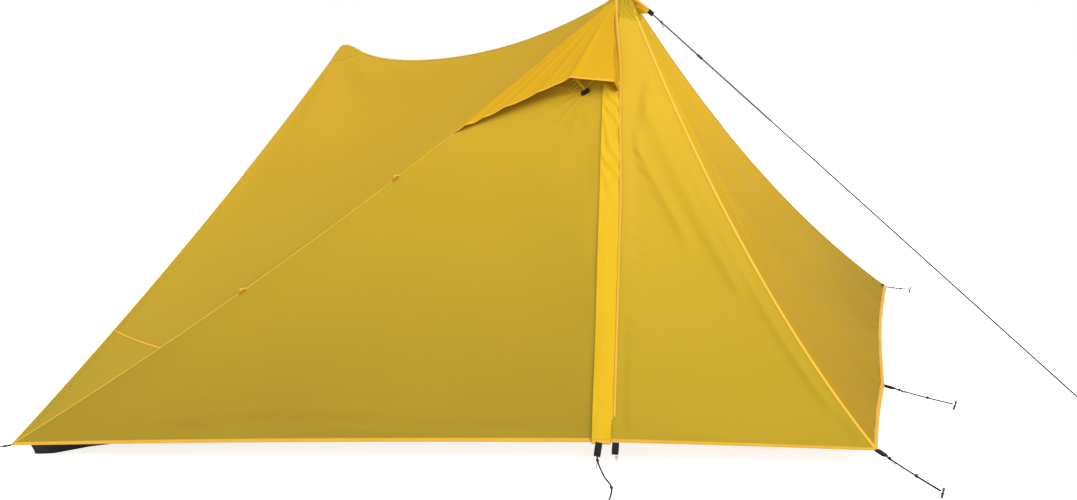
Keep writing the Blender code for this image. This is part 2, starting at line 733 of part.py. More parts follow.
def trekking_pole(side, foam, metal, plastic):
    """One pole, grip up in the peak: grip, upper shaft with its lock, lever and lower shaft."""
    foot = SIDES[side](FRONT_PEAK) * (1.0, 1.0, 0.0)
    top = grip_top(side)
    bottom = top - GRIP_LENGTH
    dome = [(0.0, top)]
    for k in range(1, DOME_STEPS + 1):
        angle = 0.5 * math.pi * k / DOME_STEPS
        dome.append((GRIP_RADIUS * math.sin(angle), top - GRIP_RADIUS * (1.0 - math.cos(angle))))
    profile = dome + [
        (GRIP_WAIST, top - GRIP_WAIST_DROP),
        (GRIP_SWELL, top - GRIP_SWELL_DROP),
        (GRIP_WAIST, bottom + GRIP_FOOT),
        (GRIP_WAIST - GRIP_FOOT / 2, bottom),
        (0.0, bottom),
    ]
    turned_solid(f"{side}_pole_grip", profile, foam, foot)
    shaft_top = bottom - SEAM_GAP
    lock_top = LOCK_HEIGHT + LOCK_LENGTH
    profile = [
        (0.0, shaft_top),
        (SHAFT_RADIUS, shaft_top),
        (SHAFT_RADIUS, lock_top),
        (LOCK_RADIUS, lock_top - LOCK_EASE),
        (LOCK_RADIUS, LOCK_HEIGHT + LOCK_EASE),
        (LOCK_RADIUS - LOCK_EASE / 2, LOCK_HEIGHT),
        (BORE_RADIUS, LOCK_HEIGHT),
        (BORE_RADIUS, LOCK_HEIGHT + BORE_DEPTH),
        (0.0, LOCK_HEIGHT + BORE_DEPTH),
    ]
    turned_solid(f"{side}_pole_upper", profile, metal, foot)
    basket_top = BASKET_HEIGHT + BASKET_THICKNESS
    profile = [
        (0.0, LOCK_HEIGHT + LOWER_INSERT),
        (LOWER_RADIUS, LOCK_HEIGHT + LOWER_INSERT),
        (LOWER_RADIUS, basket_top + BASKET_NECK),
        (COLLAR_RADIUS, basket_top),
        (BASKET_RADIUS, BASKET_HEIGHT + BASKET_THICKNESS / 2),
        (BASKET_RADIUS, BASKET_HEIGHT),
        (LOWER_RADIUS, BASKET_HEIGHT),
        (LOWER_RADIUS, BASKET_HEIGHT - BASKET_NECK),
        (TIP_RADIUS, TIP_LENGTH),
        (TIP_POINT_RADIUS, 0.0),
        (0.0, 0.0),
    ]
    turned_solid(f"{side}_pole_lower", profile, metal, foot)
    lock_lever(side, foot, plastic)


def lever_pivot(side, foot):
    """The lever's pivot stands beside the lock, on the side away from the nearer door."""
    reach = LOCK_RADIUS + SEAM_GAP + LEVER_THICKNESS / 2
    return foot + SIDES[side](vec(0.0, reach, LOCK_HEIGHT + LOCK_LENGTH / 2))


def lock_lever(side, foot, material):
    """A curved plate that wraps round the lock from its pivot."""
    inner = LOCK_RADIUS + SEAM_GAP
    points = []
    for level in (-0.5, 0.5):
        height = LOCK_HEIGHT + LOCK_LENGTH / 2 + level * LEVER_HEIGHT
        for k in range(LEVER_STEPS + 1):
            angle = math.radians(LEVER_START + LEVER_WRAP * k / LEVER_STEPS)
            for radius in (inner, inner + LEVER_THICKNESS):
                offset = vec(radius * math.cos(angle), radius * math.sin(angle), height)
                points.append(foot + SIDES[side](offset))
    size = 2 * (LEVER_STEPS + 1)
    faces = []
    for k in range(LEVER_STEPS):
        a, b, c, d = 2 * k, 2 * k + 1, 2 * k + 3, 2 * k + 2
        faces.append((a, b, c, d))
        faces.append((a + size, d + size, c + size, b + size))
        faces.append((a, d, d + size, a + size))
        faces.append((b, b + size, c + size, c))
    faces.append((0, size, size + 1, 1))
    end = 2 * LEVER_STEPS
    faces.append((end, end + 1, end + 1 + size, end + size))
    name = f"{side}_pole_lever"
    return add_object(name, mesh_from(name, points, faces), material, origin=tuple(lever_pivot(side, foot)))


def floor_corners():
    """The floor's corners: two next to the door-side corners of the hem, two across from them.

    Each long edge runs from its corner of the hem past the back of the pole.
    """
    near = vec(-HALF_LENGTH + FLOOR_INSET_END, -HALF_DEPTH + FLOOR_INSET_SIDE, 0.0)
    pole = vec(FRONT_PEAK[0], FRONT_PEAK[1], 0.0)
    to_pole = pole - near
    turn = math.asin(FLOOR_POLE_GAP / np.linalg.norm(to_pole))
    direction = unit(to_pole)
    along = vec(direction[0] * math.cos(turn) - direction[1] * math.sin(turn),
                direction[0] * math.sin(turn) + direction[1] * math.cos(turn), 0.0)
    far_x = HALF_LENGTH - FLOOR_INSET_END
    far = near + along * ((far_x - near[0]) / along[0])
    return near, far, half_turn(near), half_turn(far)


def bathtub_floor(material):
    """A tray with upright walls, laid on the ground."""
    corners = floor_corners()
    count = len(corners)

    def ring(inset, height):
        """The outline drawn in by the inset on every side."""
        points = []
        for k in range(count):
            before, here, after = corners[k - 1], corners[k], corners[(k + 1) % count]
            first, second = unit(here - before), unit(after - here)
            inward_first = vec(-first[1], first[0], 0.0)
            inward_second = vec(-second[1], second[0], 0.0)
            rows = np.array((inward_first[:2], inward_second[:2]))
            step = np.linalg.solve(rows, np.array((inset, inset)))
            points.append(here + vec(step[0], step[1], height))
        return points

    points = ring(0.0, 0.0) + ring(0.0, FLOOR_WALL) + ring(CLOTH, FLOOR_WALL) + ring(CLOTH, CLOTH)
    faces = [tuple(range(count)), tuple(range(3 * count, 4 * count))]
    for level in range(3):
        for k in range(count):
            after = (k + 1) % count
            low, high = level * count, (level + 1) * count
            faces.append((low + k, low + after, high + after, high + k))
    return add_object("bathtub_floor", mesh_from("bathtub_floor", points, faces), material, smooth=False)


def strap(name, start, end, material):
    """A flat strap between two points, with its face up."""
    along = unit(end - start)
    across = unit(np.cross(vec(0.0, 0.0, 1.0), along))
    up = np.cross(along, across)
    size = (float(np.linalg.norm(end - start)), STRAP_WIDTH, CLOTH)
    mesh = box_mesh(name, (start + end) / 2, (along, across, up), size)
    return add_object(name, mesh, material, smooth=False)


def floor_strap(material):
    """The strap from the floor's near corner to the underside of the hem's corner."""
    near = floor_corners()[0]
    away = unit((FRONT_LEFT - near) * (1.0, 1.0, 0.0))
    start = near + away * SEAM_GAP + vec(0.0, 0.0, FLOOR_WALL - STRAP_DROP)
    end = FRONT_LEFT - away * STRAP_WIDTH - vec(0.0, 0.0, STRAP_DROP)
    return strap("front_floor_strap", start, end, material)


def stake_axes(lean_to):
    """Up along a stake, leaning towards the given level direction, and two axes across it."""
    level = unit(vec(lean_to[0], lean_to[1], 0.0))
    lean = math.radians(STAKE_LEAN)
    up = math.cos(lean) * vec(0.0, 0.0, 1.0) + math.sin(lean) * level
    across = unit(np.cross(up, level))
    back = np.cross(across, up)
    return up, across, back


def tie_point(ground, lean_to, gap):
    """Where a cord or tab meets a stake: a gap in front of its inner fin, above the ground."""
    up, _, back = stake_axes(lean_to)
    return ground + up * STAKE_TIE - back * (STAKE_FIN + gap)


def stake(name, ground, lean_to, material):
    """A peg of three fins with a pointed end, driven in so that its head stands clear."""
    up, across, back = stake_axes(lean_to)
    half = STAKE_FIN_THICKNESS / 2
    section = []
    half_angle = math.pi / STAKE_FINS
    root = half / math.tan(half_angle)
    for k in range(STAKE_FINS):
        angle = math.pi + 2.0 * half_angle * k
        out = math.cos(angle) * back + math.sin(angle) * across
        side = -math.sin(angle) * back + math.cos(angle) * across
        section.append(out * STAKE_FIN - side * half)
        section.append(out * STAKE_FIN + side * half)
        turn = angle + half_angle
        notch = math.cos(turn) * back + math.sin(turn) * across
        section.append(notch * (root / math.cos(half_angle)))
    head = np.asarray(ground) + up * STAKE_OUT
    shoulder = head - up * (STAKE_LENGTH - STAKE_POINT)
    rings = ((head, 1.0), (shoulder, 1.0), (head - up * STAKE_LENGTH, STAKE_POINT_SCALE))
    points = [centre + scale * p for centre, scale in rings for p in section]
    count = len(section)
    faces = [tuple(range(count)), tuple(range(2 * count, 3 * count))]
    for level in range(2):
        for k in range(count):
            after = (k + 1) % count
            low, high = level * count, (level + 1) * count
            faces.append((low + k, low + after, high + after, high + k))
    mesh = mesh_from(name, points, faces)
    triangulate(mesh)
    return add_object(name, mesh, material, origin=tuple(ground), smooth=False)


def triangulate(mesh):
    work = bmesh.new()
    work.from_mesh(mesh)
    bmesh.ops.triangulate(work, faces=work.faces[:])
    work.to_mesh(mesh)
    work.free()


def smooth_route(points, spacing):
    """Points at even steps along a Catmull-Rom curve through the route's own points."""
    route = [np.asarray(p, dtype=float) for p in points]
    padded = [2 * route[0] - route[1]] + route + [2 * route[-1] - route[-2]]
    dense = []
    for k in range(1, len(padded) - 2):
        a, b, c, d = padded[k - 1:k + 3]
        for t in np.linspace(0.0, 1.0, ROUTE_STEPS, endpoint=False):
            dense.append(0.5 * (2 * b + (c - a) * t + (2 * a - 5 * b + 4 * c - d) * t ** 2
                                + (3 * b - a - 3 * c + d) * t ** 3))
    dense.append(route[-1])
    dense = np.array(dense)
    lengths = np.concatenate(((0.0,), np.cumsum(np.linalg.norm(np.diff(dense, axis=0), axis=1))))
    count = min(CORD_POINTS, math.ceil(lengths[-1] / spacing) + 1)
    even = np.linspace(0.0, lengths[-1], count)
    return np.stack([np.interp(even, lengths, dense[:, k]) for k in range(3)], axis=1)


def cord(name, route, diameter, material):
    """A round cord as a bevelled curve with filled ends."""
    curve = bpy.data.curves.new(name, "CURVE")
    curve.dimensions = "3D"
    curve.bevel_depth = diameter / 2
    curve.bevel_resolution = 2
    curve.use_fill_caps = True
    spline = curve.splines.new("POLY")
    points = smooth_route(route, CORD_STEP_DIAMETERS * diameter)
    spline.points.add(len(points) - 1)
    for item, place in zip(spline.points, points):
        item.co = (*place, 1.0)
    curve.materials.append(material)
    thing = bpy.data.objects.new(name, curve)
    bpy.context.scene.collection.objects.link(thing)
    return thing


def staked_cord(side, corner, step, cord_material, stake_material):
    """A short cord from a point of the hem to a stake, and that stake."""
    level = vec(step[0], step[1], 0.0)
    ground = vec(corner[0] + step[0], corner[1] + step[1], 0.0)
    end = tie_point(ground, level, CORD_GAP)
    start = corner + unit(end - corner) * CORD_GAP
    middle = (start + end) / 2 - vec(0.0, 0.0, CORD_SLACK * float(np.linalg.norm(end - start)))
    cord(f"{side}_cord", (start, middle, end), CORD_DIAMETER, cord_material)
    stake(f"{side}_stake", ground, level, stake_material)


def staked_tab(side, corner, level, tab_material, stake_material):
    """A webbing tab at the hem with a stake straight through its end."""
    away = unit(vec(level[0], level[1], 0.0))
    ground = vec(corner[0], corner[1], 0.0) + away * TAB_REACH
    start = corner + away * TAB_GAP
    end = tie_point(ground, away, TAB_GAP)
    along = unit(end - start)
    across = unit(np.cross(vec(0.0, 0.0, 1.0), along))
    size = (float(np.linalg.norm(end - start)), TAB_WIDTH, TAB_THICKNESS)
    mesh = box_mesh(f"{side}_tab", (start + end) / 2, (along, across, np.cross(along, across)), size)
    add_object(f"{side}_tab", mesh, tab_material, smooth=False)
    stake(f"{side}_stake", ground, away, stake_material)


def below_flap(thickness):
    """Where a cord or tab of that thickness leaves the bottom edge of the front storm flap."""
    rise = -FLAP_OVERHANG - thickness / 2 - CORD_GAP / 2
    return on_front(ZIP_FOOT_X + DOOR_TAB_FROM_ZIP, rise, FLAP_LIFT + CLOTH / 2)


def guy_points(side):
    """The ends of a peak's webbing, the guyline's tie point, the way there and the way across it."""
    peak, ring = first_seam_points(side, CAP_REACH)
    end_out = outward(peak, ring[2], ring[3])
    stake_ground = SIDES[side](vec(GUY_STAKE[0], GUY_STAKE[1], 0.0))
    level = (stake_ground - peak) * (1.0, 1.0, 0.0)
    tie = tie_point(stake_ground, level, CORD_GAP)
    away = unit(tie - peak)
    away = unit(away - np.dot(away, end_out) * end_out)
    seat = peak + away * PEAK_TAB_START + end_out * (CAP_SEAT + CLOTH + SEAM_GAP + TAB_THICKNESS / 2)
    direction = unit(tie - seat)
    across = unit(np.cross(end_out, direction))
    return seat, seat + direction * PEAK_TAB_LENGTH, tie, direction, across


def peak_tab(side, material):
    """The webbing that leaves a peak for a guyline."""
    seat, end, _, direction, across = guy_points(side)
    size = (PEAK_TAB_LENGTH, TAB_WIDTH, TAB_THICKNESS)
    name = f"{side}_peak_tab"
    mesh = box_mesh(name, (seat + end) / 2, (direction, across, np.cross(direction, across)), size)
    return add_object(name, mesh, material, smooth=False)


def main():
    clear_scene()
    cloth = make_material("fly_cloth", YELLOW, 0.55, 0.0)
    door_cloth = make_material("door_cloth", YELLOW, 0.55, 0.0)
    bright = make_material("bright_cloth", BRIGHT_YELLOW, 0.5, 0.0)
    tie_cloth = make_material("tie_cloth", ORANGE, 0.6, 0.0)
    black_cloth = make_material("black_cloth", BLACK, 0.6, 0.0)
    webbing = make_material("webbing", BLACK, 0.7, 0.0)
    plastic = make_material("plastic", BLACK, 0.4, 0.0)
    foam = make_material("foam", GREY, 0.9, 0.0)
    metal = make_material("pole_metal", METAL, 0.35, 1.0)
    stake_metal = make_material("stake_metal", METAL, 0.4, 1.0)
    cord_cloth = make_material("cord", BLACK, 0.7, 0.0)

    panels = fly_panels(cloth, door_cloth)
    for panel, offsets in zip(panels, inner_offsets(panels)):
        panel.build(offsets)

    twins = [
        storm_flap(bright),
        zip_tape(plastic),
        zip_slider(plastic),
        vent_hood(bright),
        vent_strut(webbing),
        door_tie("front_door_tie_low", TIE_LOW_FROM_CORNER, tie_cloth),
        door_tie("front_door_tie_high", TIE_HIGH_FROM_CORNER, tie_cloth),
        floor_strap(black_cloth),
    ]
    for item in twins:
        turned_copy(item, item.name.replace("front_", "rear_", 1))
    for side in SIDES:
        trekking_pole(side, foam, metal, plastic)
        peak_cap(side, cloth)
        peak_tab(side, webbing)

    bathtub_floor(black_cloth)

    staked_cord("front_left", FRONT_LEFT, FRONT_LEFT_STEP, cord_cloth, stake_metal)
    staked_cord("front_right", FRONT_RIGHT, FRONT_RIGHT_STEP, cord_cloth, stake_metal)
    staked_cord("rear_right", REAR_RIGHT, REAR_RIGHT_STEP, cord_cloth, stake_metal)
    right_hem = seam(FRONT_RIGHT, REAR_RIGHT, RIGHT_HEM_SAG)
    mid_right = right_hem(MID_RIGHT_FROM_CORNER / FLY_DEPTH)
    staked_cord("mid_right", mid_right, MID_RIGHT_STEP, cord_cloth, stake_metal)
    staked_cord("front_zip", below_flap(CORD_DIAMETER), DOOR_STAKE_STEP, cord_cloth, stake_metal)
    staked_tab("rear_left", REAR_LEFT, (-1.0, 1.0), webbing, stake_metal)
    staked_tab("mid_left", half_turn(mid_right), (-1.0, 0.0), webbing, stake_metal)
    staked_tab("rear_zip", half_turn(below_flap(TAB_THICKNESS)), (0.0, 1.0), webbing, stake_metal)

    _, tab_end, tie, direction, _ = guy_points("front")
    start = tab_end + direction * CORD_GAP
    cord("peak_guyline", (start, (start + tie) / 2, tie), GUY_DIAMETER, cord_cloth)
    guy_stake = vec(GUY_STAKE[0], GUY_STAKE[1], 0.0)
    stake("peak_guyline_stake", guy_stake, guy_stake - FRONT_PEAK, stake_metal)
    bore = GUY_DIAMETER / 2 + CORD_GAP
    half = ADJUSTER_LENGTH / 2
    profile = [
        (ADJUSTER_RADIUS, half),
        (ADJUSTER_RADIUS, -half),
        (bore, -half),
        (bore, half),
    ]
    middle = start + direction * ADJUSTER_FROM_PEAK
    turned_solid("line_adjuster", profile, plastic, middle, ADJUSTER_STEPS, -direction)


main()
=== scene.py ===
"""The looks of a two-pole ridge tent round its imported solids: cloth, trim, cords, poles, stakes and a studio.

Metres, +Z up, in the frame of the solids. The rear side is the front side turned half a turn
about +Z, apart from the slack of two hips.
"""
import math

import bpy
import numpy as np
from bpy.props import FloatProperty, FloatVectorProperty, IntProperty, PointerProperty
from bpy.types import Operator, Panel, PropertyGroup
from mathutils import Matrix


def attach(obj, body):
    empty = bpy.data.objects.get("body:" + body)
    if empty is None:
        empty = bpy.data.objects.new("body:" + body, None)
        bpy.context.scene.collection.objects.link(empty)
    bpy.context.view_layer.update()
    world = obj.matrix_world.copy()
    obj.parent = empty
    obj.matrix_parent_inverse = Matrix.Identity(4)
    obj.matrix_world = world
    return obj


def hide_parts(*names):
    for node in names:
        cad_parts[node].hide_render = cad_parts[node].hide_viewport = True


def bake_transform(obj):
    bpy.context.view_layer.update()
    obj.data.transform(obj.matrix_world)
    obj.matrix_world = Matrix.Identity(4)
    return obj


bl_info = {
    "name": "Two-pole tent looks",
    "version": (1, 0, 0),
    "blender": (4, 5, 0),
    "location": "3D View > Sidebar > Tent",
    "description": "Cloth, trim, cords, poles and stakes for a tent pitched on trekking poles",
    "category": "Object",
}

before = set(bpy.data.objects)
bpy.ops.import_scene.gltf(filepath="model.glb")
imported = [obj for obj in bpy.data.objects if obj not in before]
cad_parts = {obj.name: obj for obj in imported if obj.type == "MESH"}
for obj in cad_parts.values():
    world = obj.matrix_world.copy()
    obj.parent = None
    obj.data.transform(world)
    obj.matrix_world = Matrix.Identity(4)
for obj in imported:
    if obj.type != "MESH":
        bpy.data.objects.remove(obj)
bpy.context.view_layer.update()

# Outline of the fly, as the solids have it
FLY_LENGTH = 2.70
FLY_DEPTH = 2.105
PEAK_HEIGHT = 1.302
HEM_HEIGHT = 0.050
PEAK_FROM_END = 0.713
PEAK_FROM_SIDE = 0.848

# Slack of the seams at mid length
RIDGE_SLACK = 0.120
DOOR_HIP_SLACK = 0.064
SIDE_HIP_SLACK = 0.136
RIGHT_END_HIP_SLACK = 0.073
LEFT_END_HIP_SLACK = 0.026
END_HEM_BULGE = 0.012
RIDGE_LATE_SLACK = 0.0215
LONG_HEM_SCALLOP = 0.020
SHORT_HEM_SCALLOP = 0.005
SLACK_POWER = 2.5
HEM_RISE_AT_ZIP = 0.0185
DOOR_HEM_BOW = 0.0055
SIDE_HEM_BOW = 0.0015
DOOR_FOLD_WIDTH = 0.07

# Zip and storm flap
ZIP_FOOT_FROM_END = 0.719
ZIP_TOP_FROM_END = 0.765
ZIP_TOP_RISE = 1.150
ZIP_SHARE_OF_EDGE = 0.8
ZIP_TAPE = 0.0007
TOOTH_PITCH = 0.0026
SLIDER_REST = 0.030
SLIDER_BESIDE = 0.0049
FLAP_WIDTH = 0.050
FLAP_LIFT = 0.0095
FLAP_FLAT = 0.30
FLAP_SEAT = 0.0012
FLAP_OVERHANG = 0.008
FLAP_WIDER_BELOW = 0.0100
FLAP_WIDER_OVER = 0.42
FLAP_FREE_EDGE = 0.0026
FLAP_NOTCH = 0.065
FLAP_NOTCH_DEPTH = 0.0065
FLAP_CORNER_LIFT = 0.0035
BORDER_BEND = 0.029
BORDER_BEND_OVER = 0.33
BORDER_ABOVE_ZIP = 0.335
HEAD_RISE = 0.325

# Vent hood and its stay
HOOD_LENGTH = 0.680
HOOD_PEAK_MARGIN = 0.045
HOOD_SEAT = 0.0023
HOOD_CORNER_FROM_END = 0.718
HOOD_CORNER_RISE = 1.130
HOOD_CORNER_LIFT = 0.040
HOOD_EDGE_BOW = 0.010
HOOD_PROP_SHARE = 0.75
HOOD_PROP_RISE = 0.046
HOOD_PROP_LIFT = 0.027
HOOD_EDGE_SLACK = 0.004
HOOD_SIDE_START = 0.018
HOOD_SIDE_RUN = 0.353
HOOD_FOLDS = ((0.085, 0.030, 0.0075), (0.20, 0.030, 0.0045), (0.34, 0.045, 0.0055),
              (0.55, 0.03, 0.0036), (0.75, 0.028, 0.0060))  # place along the edge, width and height
HOOD_HEM = ((0.007, 0.0002), (0.007, 0.0009), (0.002, 0.0012), (-0.001, 0.0), (0.002, -0.0014),
            (0.007, -0.0010))  # inset from the edge and lift
STRUT_FOOT_FROM_END = 0.823
STRUT_FOOT_RISE = 1.139
PAD_LEVELS = ((0.30, -0.002), (0.96, -0.002), (1.0, 0.0006), (1.0, 0.0024), (0.95, 0.0034),
              (0.80, 0.0040), (0.30, 0.0041))  # share of the outline and height

# Ties and peaks
TIES_FROM_CORNER = {"low": 0.900, "high": 1.530}
CAP_REACH = 0.110
CAP_THICKNESS = 0.0003
CAP_NEIGHBOUR = 0.6
CAP_CRUMPLE = {"front": 1.0, "rear": 0.4}
PEAK_ROUNDING = 0.0042
PEAK_TAB_LENGTH = 0.105
PEAK_TAB_START = 0.012
PEAK_TAB_SEAT = 0.00265
FIN_FOOT = 0.088
FIN_THICKNESS = 0.0012
TAB_WIDTH = 0.015
TAB_REACH = 0.047

# Cords and stakes
STAKE_TIE = 0.015
STAKE_FIN = 0.0065
STAKE_SLIM_FIN = 0.0033
STAKE_CORE = 0.0011
STAKE_OUT = 0.028
STAKE_LENGTH = 0.160
STAKE_POINT = 0.022
STAKE_LEAN = 20.0
STAKE_RINGS = ((0.0, 0.90, 0.9), (0.0006, 1.0, 1.0), (0.0095, 1.0, 1.0), (0.0105, 0.62, 1.0),
               (0.0135, 0.62, 1.0), (0.0145, 1.0, 1.0), (0.05, 1.0, 1.0), (0.10, 1.0, 1.0),
               (STAKE_LENGTH - STAKE_POINT, 1.0, 1.0), (STAKE_LENGTH, 0.15, 0.3))  # drop, fin and core
CORD_DIAMETER = 0.0040
ZIP_CORD_DIAMETER = 0.0046
GUY_DIAMETER = 0.0042
STRAND = 0.0011
CORD_SLACK = 0.010
CORD_GAP = 0.0004
TAB_GAP = 0.0003
DOUBLED_SHARE = 0.62
ZIP_CORD_VIAS = ((0.687, -1.1446, 0.0105), (0.730, -1.2295, 0.0110))
ZIP_TAB_DROP = (-0.0035, -0.0130, -0.0360)
CORD_STEPS = {"front_left": (-0.200, 0.070), "front_right": (0.135, -0.170), "rear_right": (0.090, 0.100),
              "mid_right": (0.181, -0.078), "front_zip": (0.110, -0.290)}
MID_RIGHT_FROM_CORNER = 0.565
DOOR_TAB_FROM_ZIP = 0.022
SPARE_TAB_FROM_ZIP = 0.0657
SPARE_STRANDS = ((-0.003, 0.012), (0.0, 0.017), (0.003, 0.010))
REAR_TAB_FROM_ZIP = 0.013
REAR_TAB_BELOW = 0.00095
REAR_TAB_OUT = 0.0005
GUY_STAKE = (1.871, -0.585)
GUY_LOOP = 0.048
ADJUSTER_FROM_PEAK = 0.225
ADJUSTER_LENGTH = 0.026

# Floor
FLOOR_INSET_END = 0.048
FLOOR_INSET_SIDE = 0.0725
FLOOR_POLE_GAP = 0.050
FLOOR_WALL = 0.070
FLOOR_SEAT = 0.0006
FLOOR_STEPS = 90
FLOOR_LEAN = 0.009
FLOOR_TOP_INSET = 0.006
FLOOR_TOP_DIP = 0.010
FLOOR_CORNER = 0.032
FLOOR_CORNER_OUT = 0.018
FLOOR_CORNER_PULL = 0.030
FLOOR_BULGE = 0.026
FLOOR_BULGE_PLACE = 0.063
FLOOR_BULGE_WIDTH = 0.045
STRAP_WIDTH = 0.012
STRAP_DROP = 0.001

# Camera, solved from the photograph's corners, peaks and seams
CAMERA_PLACE = (1.448, -3.585, 0.928)
CAMERA_YAW = 19.654
CAMERA_PITCH = 7.252
CAMERA_ROLL = 6.095
CAMERA_LENS = 34.88
SENSOR_WIDTH = 36.0
KEY_LIGHT_FROM = (0.45, -0.50, 0.80)

# Half widths of the seams' tapes
FINE_SEAM = 0.0021
TRIM_SEAM = 0.0056
PLAIN_SEAM = 0.006

ROUTE_STEPS = 24
TINY = 1e-9
RIM_ANGLE = 65.0


def vec(x, y, z=0.0):
    return np.array((x, y, z), dtype=float)


def unit(v):
    return v / np.linalg.norm(v, axis=-1, keepdims=True)


def size_of(v):
    return float(np.linalg.norm(v))


def times(values, direction):
    """The direction times each of the values."""
    return np.multiply.outer(values, direction)


def share_of(part, whole):
    """Part by whole, and 0 where the whole is nothing."""
    return np.divide(part, whole, out=np.zeros_like(part), where=whole > TINY)


def steps(count, low=0.0, high=1.0):
    return np.linspace(low, high, count)


def circle(count):
    return np.linspace(0.0, 2.0 * np.pi, count, endpoint=False)


def crossed(first, second):
    """Two arrays that give every pair of the two rows of values."""
    return np.meshgrid(first, second, indexing="ij")


def half_turn(point):
    """The same point on the rear side: half a turn about +Z."""
    return np.asarray(point) * (-1.0, -1.0, 1.0)


def smooth(x):
    """0 below 0, 1 above 1, and 3 x squared minus 2 x cubed between."""
    x = np.clip(x, 0.0, 1.0)
    return x * x * (3.0 - 2.0 * x)


def wave(turns):
    return np.sin(2.0 * np.pi * turns)


def hump(x):
    """A half sine from 0 to 1, and 0 beyond."""
    return np.sin(np.pi * np.clip(x, 0.0, 1.0))


SIDES = {"front": np.asarray, "rear": half_turn}
HALF_LENGTH = FLY_LENGTH / 2
HALF_DEPTH = FLY_DEPTH / 2
FRONT_LEFT = vec(-HALF_LENGTH, -HALF_DEPTH, HEM_HEIGHT)
FRONT_RIGHT = vec(HALF_LENGTH, -HALF_DEPTH, HEM_HEIGHT)
REAR_RIGHT = half_turn(FRONT_LEFT)
REAR_LEFT = half_turn(FRONT_RIGHT)
FRONT_PEAK = vec(HALF_LENGTH - PEAK_FROM_END, -HALF_DEPTH + PEAK_FROM_SIDE, PEAK_HEIGHT)
REAR_PEAK = half_turn(FRONT_PEAK)
ALONG = vec(1.0, 0.0)
UP = vec(0.0, 0.0, 1.0)
LEVEL = (1.0, 1.0, 0.0)
SLOPE = unit(vec(0.0, PEAK_FROM_SIDE, PEAK_HEIGHT - HEM_HEIGHT))
OUT = np.cross(ALONG, SLOPE)
HEM_MIDDLE = vec(0.0, -HALF_DEPTH, HEM_HEIGHT)


def on_front(x, rise, lift=0.0):
    """A point of the front face: x along the hem, rise up the slope, lift out of the cloth."""
    return HEM_MIDDLE + times(x, ALONG) + times(rise, SLOPE) + times(lift, OUT)


ZIP_FOOT_X = HALF_LENGTH - ZIP_FOOT_FROM_END
ZIP_TOP_X = HALF_LENGTH - ZIP_TOP_FROM_END
ZIP_FOOT = on_front(ZIP_FOOT_X, HEM_RISE_AT_ZIP)
ZIP_TOP = on_front(ZIP_TOP_X, ZIP_TOP_RISE)
ZIP_DIRECTION = unit(ZIP_TOP - ZIP_FOOT)
ZIP_LENGTH = size_of(ZIP_TOP - ZIP_FOOT)
STRUT_FOOT = on_front(HALF_LENGTH - STRUT_FOOT_FROM_END, STRUT_FOOT_RISE)
PEAK_X = float(np.dot(FRONT_PEAK - HEM_MIDDLE, ALONG))
PEAK_RISE = float(np.dot(FRONT_PEAK - HEM_MIDDLE, SLOPE))


def outward(a, b, c):
    """The normal of a triangle that points away from the middle of the tent."""
    normal = unit(np.cross(b - a, c - a))
    return normal if np.dot(normal, a - HEM_HEIGHT * UP) > 0 else -normal


FRONT_OUT = outward(FRONT_LEFT, FRONT_RIGHT, FRONT_PEAK)
ROOF_OUT = outward(FRONT_LEFT, FRONT_PEAK, REAR_PEAK)
RIGHT_OUT = outward(FRONT_RIGHT, REAR_RIGHT, FRONT_PEAK)
DOOR_HIP_OUT = unit(FRONT_OUT + ROOF_OUT)
DOOR_HIP_SAG = -DOOR_HIP_SLACK * DOOR_HIP_OUT
SIDE_HIP_SAG = -SIDE_HIP_SLACK * UP
RIGHT_END_HIP_SAG = -RIGHT_END_HIP_SLACK * unit(half_turn(ROOF_OUT) + RIGHT_OUT)
LEFT_END_HIP_SAG = -LEFT_END_HIP_SLACK * unit(ROOF_OUT + half_turn(RIGHT_OUT))
RIDGE_SAG = -RIDGE_SLACK * UP
RIGHT_HEM_SAG = END_HEM_BULGE * ALONG


def seam(start, end, sag=0.0 * UP):
    """A seam as a parabola: the chord plus 4 t (1 - t) times its sag."""
    def at(t):
        t = np.asarray(t, float)
        return start + times(t, end - start) + times(4.0 * t * (1.0 - t), sag)
    return at


def bent_line(start, bend, end, share):
    """Two straight runs that meet at the bend, at that share of the way."""
    def at(t):
        columns = [np.interp(t, (0.0, share, 1.0), (start[k], bend[k], end[k])) for k in range(3)]
        return np.stack(columns, axis=-1)
    return at


def backwards(curve):
    return lambda t: curve(1.0 - np.asarray(t, float))


def ridge_line(t):
    """The ridge from the front peak: its parabola, and a second drop sin(pi t^4) near the rear peak."""
    t = np.asarray(t, float)
    late = RIDGE_LATE_SLACK * np.sin(np.pi * t ** 4)
    return seam(FRONT_PEAK, REAR_PEAK, RIDGE_SAG)(t) - times(late, UP)


def right_hem_line(t):
    """The right hem from the front corner: a bulge, less a scallop on either side of its stake."""
    t = np.asarray(t, float)
    scallops = SHORT_HEM_SCALLOP * hump(t / STAKED_SHARE)
    scallops = scallops + LONG_HEM_SCALLOP * hump((t - STAKED_SHARE) / (1.0 - STAKED_SHARE))
    return seam(FRONT_RIGHT, REAR_RIGHT, RIGHT_HEM_SAG)(t) - times(scallops, ALONG)


STAKED_SHARE = MID_RIGHT_FROM_CORNER / FLY_DEPTH
STAKED_HEM = right_hem_line(STAKED_SHARE)
DOOR_HIP = seam(FRONT_LEFT, FRONT_PEAK, DOOR_HIP_SAG)
DOOR_HIP_LENGTH = size_of(FRONT_PEAK - FRONT_LEFT)


